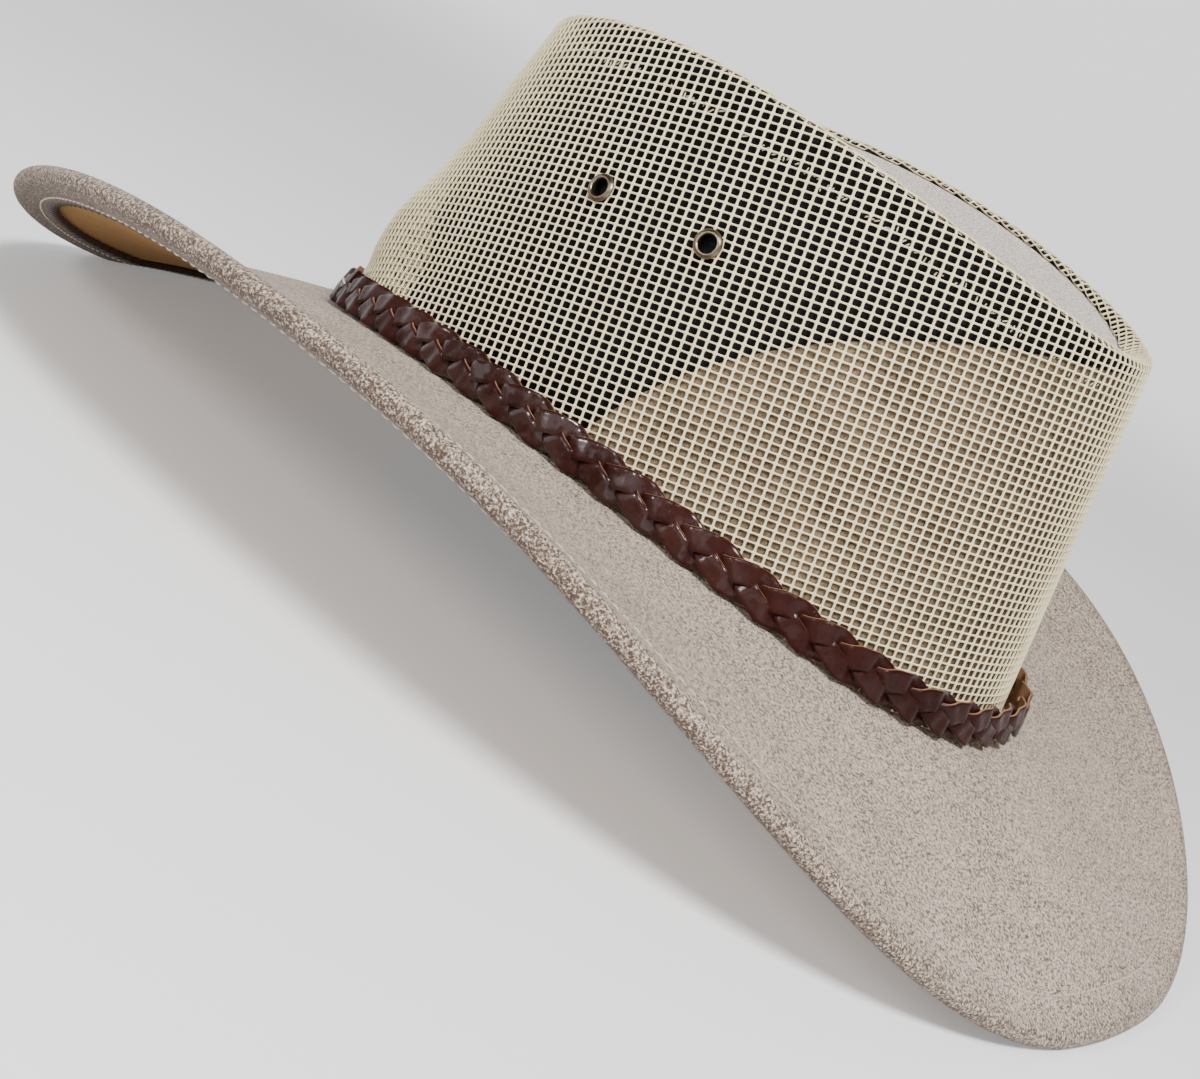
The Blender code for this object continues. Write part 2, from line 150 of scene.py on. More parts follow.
class NodeBench:
    """One material's node tree, with a single way to add any node."""

    def __init__(self, name: str) -> None:
        """Start a material that holds only a Principled shader and its output.

        Args:
            name: The material's name.
        """
        self.material = bpy.data.materials.new(name)
        self.material.use_nodes = True
        self.tree = self.material.node_tree
        self.shader = self.tree.nodes["Principled BSDF"]

    def node(
        self, kind: str, settings: dict | None = None, inputs: dict | None = None
    ) -> bpy.types.Node:
        """Add a node, apply its settings, then fill its sockets.

        Args:
            kind: The node's type.
            settings: Attributes of the node; "stops" are a ramp's stops.
            inputs: Socket names or numbers with their values or links.

        Returns:
            The new node.
        """
        made = self.tree.nodes.new(kind)
        for key, value in (settings or {}).items():
            if key == "stops":
                self._stops(made, value)
            else:
                setattr(made, key, value)
        for key, value in (inputs or {}).items():
            self.feed(made.inputs[key], value)
        return made

    def _stops(self, made: bpy.types.Node, stops: list) -> None:
        """Set a colour ramp's stops, each a place and a colour.

        Args:
            made: The ramp's node.
            stops: Each stop's place and colour.
        """
        ramp = made.color_ramp
        while len(ramp.elements) < len(stops):
            ramp.elements.new(1.0)
        for element, (place, colour) in zip(ramp.elements, stops):
            element.position = place
            element.color = (*colour, 1.0)

    def feed(self, socket: bpy.types.NodeSocket, value: object) -> None:
        """Link a Value or a socket to a socket, or set its number."""
        if isinstance(value, Value):
            value = value.socket
        if isinstance(value, bpy.types.NodeSocket):
            self.tree.links.new(value, socket)
        elif isinstance(value, tuple) and socket.type == "RGBA":
            socket.default_value = (*value, 1.0)
        else:
            socket.default_value = value

    def value(self, kind: str, settings: dict, inputs: dict, output: object = 0) -> Value:
        """Add a node and return one of its outputs as a Value."""
        return Value(self, self.node(kind, settings, inputs).outputs[output])

    def place(self) -> bpy.types.NodeSocket:
        """Return the Object coordinates."""
        return self.node("ShaderNodeTexCoord").outputs["Object"]

    def attribute(self, name: str) -> Value:
        """Return a number that the mesh carries."""
        return self.value("ShaderNodeAttribute", {"attribute_name": name}, {}, "Fac")

    def noise(self, size: float, detail: float = 3.0, rough: float = 0.6, place: object = None) -> Value:
        """Return noise about 0.5.

        Args:
            size: The size of its largest features, in metres.
            detail: Its finer layers.
            rough: How strong those are.
            place: Coordinates, or None for the Object ones.

        Returns:
            The noise as a Value.
        """
        inputs = {
            "Vector": place or self.place(), "Scale": 1.0 / size, "Detail": detail, "Roughness": rough,
        }
        return self.value("ShaderNodeTexNoise", {}, inputs, "Fac")

    def mix(self, share: object, first: object, second: object) -> bpy.types.NodeSocket:
        """Mix two colours by a share.

        Args:
            share: How much of the second colour shows.
            first: The colour at share 0.
            second: The colour at share 1.

        Returns:
            The mixed colour's socket.
        """
        made = self.node("ShaderNodeMix", {"data_type": "RGBA"})
        self.feed(made.inputs[0], share)
        self.feed(made.inputs[6], first)
        self.feed(made.inputs[7], second)
        return made.outputs[2]

    def bump(
        self, height: object, distance: float, strength: float = 1.0, under: object = None
    ) -> bpy.types.NodeSocket:
        """Return a normal from a height, over another normal where one is given.

        Args:
            height: The relief, from 0 to 1.
            distance: Its depth in metres.
            strength: How strongly it tilts the surface.
            under: A normal that it is laid over.

        Returns:
            The tilted normal's socket.
        """
        inputs = {"Height": height, "Distance": distance, "Strength": strength}
        if under is not None:
            inputs["Normal"] = under
        return self.node("ShaderNodeBump", {}, inputs).outputs["Normal"]

    def finish(self, **inputs: object) -> bpy.types.Material:
        """Fill the shader's sockets, named with _ for spaces, and return the material."""
        for key, value in inputs.items():
            self.feed(self.shader.inputs[key.replace("_", " ")], value)
        return self.material


# ---------------------------------------------------------------------------
# Finishes
# ---------------------------------------------------------------------------


@dataclass(frozen=True)
class Suede:
    """Brushed suede: short nap with fine light and dark specks."""

    name: str
    light: tuple = (0.55, 0.450, 0.360)
    dark: tuple = (0.085, 0.060, 0.043)
    # The dark nap colour below serves real scuffing and painted shade under the brim; the edge colour after
    # it is the dark cut edge and painted shade under the hem.
    worn_and_shaded: tuple = (0.060, 0.038, 0.027)
    edge: tuple = (0.050, 0.031, 0.021)
    speck: float = 0.00070
    nap: float = 0.00026

    def material(self) -> bpy.types.Material:
        """Return the suede.

        The mesh's mark for scuffing and painted shade coarsens and darkens its nap up to 1:
        real scuffing, and painted shade where the brim turns under. Above 1 it is the dark
        cut edge, with painted shade over the hem's underside.

        Returns:
            The finished material.
        """
        bench = NodeBench(self.name)
        wear_and_shade = bench.attribute("wear_and_shade")
        speck = bench.noise(self.speck, 3.0, 0.65)
        fine = bench.noise(self.speck * 0.45, 2.0, 0.6)
        cloud = bench.noise(0.018, 3.0, 0.55)
        share = (speck - 0.5) * 8.0 + (fine - 0.5) * 4.0 + (cloud - 0.5) * 0.6 + 0.62
        colour = bench.mix(share.high(0.0).low(1.0), self.dark, self.light)
        coarse = bench.noise(0.00055, 2.0, 0.6)
        # Dark tufts grow with the mark: real scuffing, and painted shade where the brim turns under.
        tuft = (coarse - 0.5) * 3.6 + wear_and_shade.low(1.0) * 1.30 - 0.42
        tuft = tuft.high(0.0).low(1.0) * wear_and_shade.ramp(0.0, 0.15)
        colour = bench.mix(tuft, colour, self.worn_and_shaded)
        # Above 1 the mark paints the dark edge colour: the cut edge, and painted shade over the hem's
        # underside.
        colour = bench.mix(wear_and_shade.ramp(1.0, 1.5), colour, self.edge)
        height = speck * 0.6 + fine * 0.4 + coarse * wear_and_shade.low(1.0) * 1.2
        normal = bench.bump(height, self.nap, 0.9)
        bench.finish(Sheen_Weight=0.08, Sheen_Roughness=0.6, Specular_IOR_Level=0.12)
        return bench.finish(Base_Color=colour, Roughness=0.95, Normal=normal)


@dataclass(frozen=True)
class CoatedYarn:
    """The net's yarn: matt ivory coating over twisted threads."""

    name: str
    light: tuple = (0.76, 0.67, 0.43)
    # The dark colour is painted shade on the yarn's sides and back.
    dark: tuple = (0.24, 0.18, 0.09)

    def material(self) -> bpy.types.Material:
        """Return the yarn; the mesh's "crest" is 1 on top and 0 behind, and the yarn is painted darker
        towards 0 as painted shade on its sides and back.

        Returns:
            The finished material.
        """
        bench = NodeBench(self.name)
        crest = bench.attribute("crest")
        thread = bench.noise(0.0005, 3.0, 0.7)
        cloud = bench.noise(0.012, 2.0, 0.5)
        # Painted shade: the yarn darkens from its crest down its sides and back.
        share = crest.ramp(0.25, 0.95) * 0.85 + (thread - 0.5) * 0.9 + (cloud - 0.5) * 0.5 + 0.12
        colour = bench.mix(share.high(0.0).low(1.0), self.dark, self.light)
        normal = bench.bump(thread, 0.00012, 0.6)
        bench.finish(Specular_IOR_Level=0.3, Sheen_Weight=0.05)
        return bench.finish(Base_Color=colour, Roughness=0.62, Normal=normal)


@dataclass(frozen=True)
class Cloth:
    """Plain woven or felted cloth in one tint."""

    name: str
    light: tuple
    dark: tuple
    grain: float = 0.0008
    rough: float = 0.9

    def material(self) -> bpy.types.Material:
        """Return the cloth, with a mottled fibre and a small relief.

        Returns:
            The finished material.
        """
        bench = NodeBench(self.name)
        fibre = bench.noise(self.grain, 4.0, 0.7)
        cloud = bench.noise(self.grain * 12.0, 2.0, 0.5)
        share = (fibre - 0.5) * 2.2 + (cloud - 0.5) * 0.8 + 0.5
        colour = bench.mix(share.high(0.0).low(1.0), self.dark, self.light)
        normal = bench.bump(fibre, self.grain * 0.35, 0.7)
        bench.finish(Specular_IOR_Level=0.15)
        return bench.finish(Base_Color=colour, Roughness=self.rough, Normal=normal)


@dataclass(frozen=True)
class GlossyLeather:
    """Polished strap leather with raw cut edges."""

    name: str
    face: tuple = (0.036, 0.0078, 0.0058)
    deep: tuple = (0.011, 0.003, 0.0022)
    raw: tuple = (0.27, 0.145, 0.085)

    def material(self) -> bpy.types.Material:
        """Return the leather.

        The mesh's "cut" is 1 on the raw edges and the flesh side, and its "polish" is 1
        where the straps are rubbed glossy.

        Returns:
            The finished material.
        """
        bench = NodeBench(self.name)
        cut = bench.attribute("cut")
        grain = bench.noise(0.0007, 4.0, 0.6)
        crease = bench.noise(0.0035, 4.0, 0.65)
        cloud = bench.noise(0.02, 2.0, 0.5)
        share = (cloud - 0.5) * 1.2 + (crease - 0.5) * 0.9 + 0.55
        face = bench.mix(share.high(0.0).low(1.0), self.deep, self.face)
        colour = bench.mix(cut, face, self.raw)
        rough = 0.34 + (crease - 0.5) * 0.5 + cut * 0.45
        normal = bench.bump(crease, 0.00060, 0.6)
        normal = bench.bump(grain, 0.00006, 0.7, normal)
        bench.finish(Specular_IOR_Level=0.08, Coat_Roughness=0.13)
        patch = bench.noise(0.0062, 3.0, 0.6)
        gloss = (1.0 - cut) * (patch.ramp(0.42, 0.56) * 0.92 + 0.08) * bench.attribute("polish")
        return bench.finish(Base_Color=colour, Roughness=rough, Coat_Weight=gloss, Normal=normal)


@dataclass(frozen=True)
class AgedBrass:
    """Dark antiqued brass, rubbed bright on its edges."""

    name: str
    deep: tuple = (0.050, 0.036, 0.026)
    bright: tuple = (0.24, 0.195, 0.145)

    def material(self) -> bpy.types.Material:
        """Return the brass; the mesh's "rub" is 1 where it is polished.

        Returns:
            The finished material.
        """
        bench = NodeBench(self.name)
        rub = bench.attribute("rub")
        patina = bench.noise(0.0012, 4.0, 0.65)
        share = rub * 0.9 + (patina - 0.5) * 0.8
        colour = bench.mix(share.high(0.0).low(1.0), self.deep, self.bright)
        normal = bench.bump(patina, 0.00006, 0.5)
        return bench.finish(Base_Color=colour, Metallic=1.0, Roughness=0.42 - rub * 0.14, Normal=normal)


@dataclass(frozen=True)
class Thread:
    """Sewing thread in one tint."""

    name: str
    light: tuple
    dark: tuple

    def material(self) -> bpy.types.Material:
        """Return the thread with a fine twist.

        Returns:
            The finished material.
        """
        bench = NodeBench(self.name)
        twist = bench.noise(0.0003, 2.0, 0.6)
        colour = bench.mix(twist.ramp(0.3, 0.7), self.dark, self.light)
        normal = bench.bump(twist, 0.00004, 0.6)
        return bench.finish(Base_Color=colour, Roughness=0.7, Normal=normal)


# ---------------------------------------------------------------------------
# Meshes from whole arrays
# ---------------------------------------------------------------------------


class Mesher:
    """Makes piece meshes from arrays of points and faces."""

    @staticmethod
    def grid_faces(rows: int, columns: int, closes: Axis) -> np.ndarray:
        """Return the quads of a grid of points.

        Args:
            rows: Points along the first parameter.
            columns: Points along the second.
            closes: Which parameters come back to their start.

        Returns:
            Faces of shape (count, 4).
        """
        last_row = rows if closes is not Axis.OPEN else rows - 1
        last_column = columns if closes is Axis.BOTH else columns - 1
        i, j = np.meshgrid(np.arange(last_row), np.arange(last_column), indexing="ij")
        i, j = i.ravel(), j.ravel()
        k, m = (i + 1) % rows, (j + 1) % columns
        return np.stack([i * columns + j, k * columns + j, k * columns + m, i * columns + m], -1)

    @staticmethod
    def volume(points: np.ndarray, groups: list[np.ndarray]) -> float:
        """Return the signed volume: a sixth of the sum of each triangle's triple product.

        Args:
            points: The mesh's points.
            groups: Its faces, grouped by their number of corners.

        Returns:
            The volume, negative where the faces point inwards.
        """
        total = 0.0
        for faces in groups:
            for k in range(1, faces.shape[1] - 1):
                a, b, c = points[faces[:, 0]], points[faces[:, k]], points[faces[:, k + 1]]
                total += float((a * np.cross(b, c)).sum()) / 6.0
        return total

    @classmethod
    def piece(
        cls,
        name: str,
        points: np.ndarray,
        groups: list[np.ndarray],
        finish: bpy.types.Material,
        marks: dict[str, np.ndarray] | None = None,
        crease: float = 180.0,
    ) -> bpy.types.Object:
        """Put a closed surface into the scene, facing outwards and riding on the hat.

        Args:
            name: The piece's name.
            points: Its points, of shape (count, 3).
            groups: Its faces, one array for each number of corners.
            finish: Its material.
            marks: Numbers that each point carries for the material.
            crease: The angle in degrees over which an edge stays sharp.

        Returns:
            The new object.
        """
        if cls.volume(points, groups) < 0.0:
            groups = [faces[:, ::-1] for faces in groups]
        mesh = bpy.data.meshes.new(name)
        corners = np.concatenate([faces.ravel() for faces in groups])
        sizes = np.concatenate([np.full(len(faces), faces.shape[1]) for faces in groups])
        mesh.vertices.add(len(points))
        mesh.vertices.foreach_set("co", np.asarray(points, np.float32).ravel())
        mesh.loops.add(len(corners))
        mesh.loops.foreach_set("vertex_index", corners.astype(np.int32))
        mesh.polygons.add(len(sizes))
        starts = np.concatenate([[0], np.cumsum(sizes)[:-1]])
        mesh.polygons.foreach_set("loop_start", starts.astype(np.int32))
        mesh.update(calc_edges=True)
        mesh.shade_smooth()
        if crease < 180.0:
            mesh.set_sharp_from_angle(angle=math.radians(crease))
        for key, values in (marks or {}).items():
            layer = mesh.attributes.new(key, "FLOAT", "POINT")
            layer.data.foreach_set("value", np.asarray(values, np.float32).ravel())
        mesh.materials.append(finish)
        item = bpy.data.objects.new(name, mesh)
        bpy.context.scene.collection.objects.link(item)
        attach(item, "root")
        return item

    @classmethod
    def tubes(
        cls,
        name: str,
        paths: np.ndarray,
        radii: np.ndarray,
        sides: int,
        finish: bpy.types.Material,
        up: np.ndarray,
    ) -> bpy.types.Object:
        """Return many short closed tubes in one piece.

        Each tube's ring k is its path's point k plus its radius there times the cosine
        and sine of the way round, along two directions across the path.

        Args:
            name: The piece's name.
            paths: Centre points of shape (tubes, rings, 3).
            radii: Radius at each ring, of shape (rings,).
            sides: Points round each ring.
            finish: Its material.
            up: A direction across each tube, of shape (tubes, 3).

        Returns:
            The new object.
        """
        count, rings = paths.shape[:2]
        along = np.gradient(paths, axis=1)
        along /= np.linalg.norm(along, axis=-1, keepdims=True)
        side = np.cross(along, up[:, None, :])
        side /= np.linalg.norm(side, axis=-1, keepdims=True)
        over = np.cross(side, along)
        turn = np.arange(sides) / sides * 2.0 * math.pi
        round_x = np.cos(turn)[None, None, :, None] * side[:, :, None, :]
        round_y = np.sin(turn)[None, None, :, None] * over[:, :, None, :]
        skin = paths[:, :, None, :] + (round_x + round_y) * radii[None, :, None, None]
        one = cls.grid_faces(sides, rings, Axis.AROUND)
        one = (one % rings) * sides + one // rings
        quads = (one[None] + np.arange(count)[:, None, None] * rings * sides).reshape(-1, 4)
        ends = np.stack([np.arange(sides), (rings - 1) * sides + np.arange(sides)[::-1]])
        caps = (ends[None] + np.arange(count)[:, None, None] * rings * sides).reshape(-1, sides)
        return cls.piece(name, skin.reshape(-1, 3), [quads[:, ::-1], caps], finish)


# ---------------------------------------------------------------------------
# The hat's lines
# ---------------------------------------------------------------------------


def smooth(value: np.ndarray, start: float, end: float) -> np.ndarray:
    """Return a smooth step that is 0 at start and 1 at end."""
    share = np.clip((value - start) / (end - start), 0.0, 1.0)
    return share * share * (3.0 - 2.0 * share)


@dataclass(frozen=True)
class HatLines:
    """The crown's base line and ridge line, the brim's edge line and what follows them."""

    base_front: float = 0.1098
    base_back: float = 0.1082
    base_width: float = 0.0836
    base_side_height: float = 0.0481
    base_front_dip: float = 0.0135
    base_back_dip: float = 0.0180
    ridge_front: float = 0.0931
    ridge_back: float = 0.0915
    ridge_width: float = 0.0690
    ridge_side_height: float = 0.1447
    ridge_front_dip: float = 0.0104
    ridge_back_dip: float = 0.0168
    brim_front: float = 0.1762
    brim_back: float = 0.1862
    brim_width: float = 0.1650
    brim_rise: float = 0.0585
    fullness: float = 2.25
    front_power: float = 2.25
    back_power: float = 1.88
    rest_spread: float = math.radians(10.0)
    front_bow: float = 0.0030
    side_bow: float = -0.0040
    roll: float = 0.00275
    skin: float = 0.0016
    gap: float = 0.0003
    rest_press: float = 0.0006
    net: float = 0.0012
    stiffener: float = 0.0010
    lining: float = 0.0010
    ridge_radius: float = 0.0026
    lip_slope: float = math.radians(45.0)
    lip_side: float = 0.0016
    lip_front: float = 0.0045
    lip_back: float = 0.0045
    shift: float = 0.0050
    folds: tuple = ((-148.0, 13.0, 0.30, 0.16, 0.0030), (-122.0, 6.0, 0.24, 0.12, -0.0008))

    @staticmethod
    def ends(t: np.ndarray, front: float, back: float) -> np.ndarray:
        """Return the front value where t faces front and the back value elsewhere."""
        return np.where(np.cos(t) > 0.0, front, back)

    @staticmethod
    def oval(t: np.ndarray, length: np.ndarray, width: np.ndarray) -> tuple[np.ndarray, np.ndarray]:
        """Return an oval's plan points (L cos t, W sin t) and its outward normals.

        Args:
            t: Angles round the hat, 0 at the front.
            length: The half length L at each angle.
            width: The half width W at each angle.

        Returns:
            The plan points and the plan normals.
        """
        plan = np.stack([length * np.cos(t), width * np.sin(t)], -1)
        normal = np.stack([width * np.cos(t), length * np.sin(t)], -1)
        return plan, normal / np.linalg.norm(normal, axis=-1, keepdims=True)

    def base(self, t: np.ndarray) -> tuple[np.ndarray, np.ndarray]:
        """Return the base line's plan points and normals."""
        length = self.ends(t, self.base_front, self.base_back)
        return self.oval(t, length, np.full_like(t, self.base_width))

    def ridge(self, t: np.ndarray) -> tuple[np.ndarray, np.ndarray]:
        """Return the ridge line's plan points and normals."""
        length = self.ends(t, self.ridge_front, self.ridge_back)
        return self.oval(t, length, np.full_like(t, self.ridge_width))

    def base_height(self, t: np.ndarray) -> np.ndarray:
        """Return the base line's height: its side height less a dip times cos t squared."""
        dip = self.ends(t, self.base_front_dip, self.base_back_dip)
        return self.base_side_height - dip * np.cos(t) ** 2

    def ridge_height(self, t: np.ndarray) -> np.ndarray:
        """Return the ridge line's height: its side height less a dip times cos t squared."""
        dip = self.ends(t, self.ridge_front_dip, self.ridge_back_dip)
        return self.ridge_side_height - dip * np.cos(t) ** 2

    def wall(self, t: np.ndarray, share: np.ndarray, inset: np.ndarray) -> np.ndarray:
        """Return points a share of the way up the straight line from base to ridge.

        The oval's sizes and the height run evenly from the base line to the ridge line,
        and the point moves in along that oval's normal by inset.

        Args:
            t: Angles round the hat, 0 at the front.
            share: How far up the wall, from 0 to 1.
            inset: How far inside the wall's face.

        Returns:
            The points before they are moved into the frame.
        """
        low = self.ends(t, self.base_front, self.base_back)
        high = self.ends(t, self.ridge_front, self.ridge_back)
        width = self.base_width + (self.ridge_width - self.base_width) * share
        plan, normal = self.oval(t, low + (high - low) * share, width)
        foot = self.base_height(t) + self.gap
        height = foot + (self.ridge_height(t) - foot) * share
        plan = plan - normal * np.asarray(inset)[..., None]
        return np.concatenate([plan, height[..., None]], -1)

    def lean(self, t: np.ndarray) -> np.ndarray:
        """Return how far the wall leans inward from upright.

        Args:
            t: Angles round the hat, 0 at the front.

        Returns:
            The lean at each angle, in radians.
        """
        base, _ = self.base(t)
        ridge, normal = self.ridge(t)
        inward = ((base - ridge) * normal).sum(-1)
        return np.arctan2(inward, self.ridge_height(t) - self.base_height(t))

    def at_ridge(self, t: np.ndarray, inward: np.ndarray, rise: np.ndarray) -> np.ndarray:
        """Return points placed from the ridge line by a way inward and a rise.

        Args:
            t: Angles round the hat, 0 at the front.
            inward: The way in from the ridge line.
            rise: The way up from it.

        Returns:
            The points.
        """
        plan, normal = self.ridge(t)
        plan = plan - normal * inward[..., None]
        height = self.ridge_height(t) + rise
        return np.concatenate([plan, height[..., None]], -1)

    def round_centre(self, t: np.ndarray) -> tuple[np.ndarray, np.ndarray]:
        """Return the centre of the ridge's round, as a way inward and a rise.

        Args:
            t: Angles round the hat, 0 at the front.

        Returns:
            The way inward and the rise.
        """
        lean = self.lean(t)
        foot = -self.ridge_radius * (1.0 - np.sin(lean))
        inward = np.tan(lean) * foot + self.ridge_radius * np.cos(lean)
        return inward, foot - self.ridge_radius * np.sin(lean)

    def lip_drop(self, t: np.ndarray) -> np.ndarray:
        """Return how far the lip falls from the round's end to its own end.

        Args:
            t: Angles round the hat, 0 at the front.

        Returns:
            The fall at each angle.
        """
        end = self.ends(t, self.lip_front, self.lip_back)
        depth = self.lip_side + (end - self.lip_side) * np.abs(np.cos(t)) ** 3
        _, rise = self.round_centre(t)
        return np.maximum(rise + self.ridge_radius * math.cos(self.lip_slope) + depth, self.gap)

    def lip_end(self, t: np.ndarray) -> tuple[np.ndarray, np.ndarray]:
        """Return where the lip's upper face ends, as a way inward and a rise.

        Args:
            t: Angles round the hat, 0 at the front.

        Returns:
            The way inward and the rise.
        """
        inward, rise = self.round_centre(t)
        drop = self.lip_drop(t)
        start_in = inward + self.ridge_radius * math.sin(self.lip_slope)
        start_rise = rise + self.ridge_radius * math.cos(self.lip_slope)
        return start_in + drop / math.tan(self.lip_slope), start_rise - drop

    def edge(self, t: np.ndarray) -> np.ndarray:
        """Return the brim's edge: a superellipse in plan whose height rises to the sides.

        Args:
            t: Angles round the hat, 0 at the front.

        Returns:
            The edge's points.
        """
        reach = self.ends(t, self.brim_front, self.brim_back)
        power = 2.0 / self.fullness
        along = reach * np.sign(np.cos(t)) * np.abs(np.cos(t)) ** power
        across = self.brim_width * np.sign(np.sin(t)) * np.abs(np.sin(t)) ** power
        flat = math.sin(self.rest_spread) ** 2
        rise = np.clip((np.sin(t) ** 2 - flat) / (1.0 - flat), 0.0, 1.0)
        curve = self.ends(t, self.front_power, self.back_power)
        height = self.roll - self.rest_press + self.brim_rise * rise ** (curve / 2.0)
        return np.stack([along, across, height], -1)

    def brim(self, t: np.ndarray, share: np.ndarray) -> tuple[np.ndarray, np.ndarray, np.ndarray]:
        """Return the brim's middle layer with its outward and upward directions.

        The layer runs from the base line to the edge line, with a bow of four times
        share times one less share on top.

        Args:
            t: Angles round the hat, 0 at the front.
            share: How far out, 0 at the crown and 1 at the edge.

        Returns:
            The points, the outward directions and the upward directions.
        """
        base, _ = self.base(t)
        edge = self.edge(t)
        way = edge[..., :2] - base
        reach = np.linalg.norm(way, axis=-1)
        out = way / reach[..., None]
        start = self.base_height(t) - self.roll
        bow = self.side_bow + (self.front_bow - self.side_bow) * np.cos(t) ** 2
        height = start + (edge[..., 2] - start) * share + bow * 4.0 * share * (1.0 - share)
        slope = (edge[..., 2] - start + bow * 4.0 * (1.0 - 2.0 * share)) / reach
        size = np.sqrt(1.0 + slope**2)[..., None]
        plan = base + way * np.asarray(share)[..., None]
        middle = np.concatenate([plan, height[..., None]], -1)
        outward = np.concatenate([out, slope[..., None]], -1) / size
        upward = np.concatenate([-out * slope[..., None], np.ones_like(slope)[..., None]], -1) / size
        return middle, outward, upward

    def on_brim(self, t: np.ndarray, share: np.ndarray, lift: np.ndarray) -> np.ndarray:
        """Return points over the brim's middle layer by lift."""
        middle, _, upward = self.brim(t, share)
        return middle + upward * np.asarray(lift)[..., None]

    def hem_share(self, t: np.ndarray, way_in: np.ndarray) -> np.ndarray:
        """Return the share of the way out that lies a way in from the edge line."""
        base, _ = self.base(t)
        return 1.0 - way_in / np.linalg.norm(self.edge(t)[..., :2] - base, axis=-1)

    def on_roll(self, t: np.ndarray, angle: np.ndarray, radius: np.ndarray) -> np.ndarray:
        """Return points round the brim's edge: 90 degrees is its top, -90 its underside.

        Args:
            t: Angles round the hat, 0 at the front.
            angle: The place on the round.
            radius: The round's radius.

        Returns:
            The points.
        """
        middle, outward, upward = self.brim(t, np.ones_like(t))
        across = outward * np.cos(angle)[..., None] + upward * np.sin(angle)[..., None]
        return middle + across * np.asarray(radius)[..., None]

    def inner(self, t: np.ndarray, inset: float, rise: float) -> np.ndarray:
        """Return points inside the base line, moved in by inset and up by rise.

        Args:
            t: Angles round the hat, 0 at the front.
            inset: How far inside the base line.
            rise: How far over it.

        Returns:
            The points.
        """
        plan, normal = self.base(t)
        height = self.base_height(t) + rise
        return np.concatenate([plan - normal * inset, height[..., None]], -1)

    def swell(self, t: np.ndarray, share: np.ndarray) -> np.ndarray:
        """Return how far the net stands out: a sum of soft humps, none behind the band.

        Args:
            t: Angles round the hat, 0 at the front.
            share: How far up the wall, from 0 to 1.

        Returns:
            The swell in metres.
        """
        total = np.zeros_like(t * share)
        for angle, spread, middle, height_spread, depth in self.folds:
            turn = np.angle(np.exp(1j * (t - math.radians(angle))))
            around = turn / math.radians(spread)
            along = (share - middle) / height_spread
            total = total + depth * np.exp(-(around**2) - along**2)
        return total * smooth(share, 0.09, 0.20)

    def round_angles(self, steps: int) -> np.ndarray:
        """Return angles that cut the base line into even lengths, the first at the front.

        Args:
            steps: How many angles.

        Returns:
            The angles.
        """
        fine = np.linspace(0.0, 2.0 * math.pi, 4001)
        plan, _ = self.base(fine)
        run = np.concatenate([[0.0], np.cumsum(np.linalg.norm(np.diff(plan, axis=0), axis=1))])
        return np.interp(np.arange(steps) / steps * run[-1], run, fine)

    def in_frame(self, points: np.ndarray) -> np.ndarray:
        """Return points moved forward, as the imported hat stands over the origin."""
        return points + np.array([self.shift, 0.0, 0.0])


# ---------------------------------------------------------------------------
# The brim
# ---------------------------------------------------------------------------


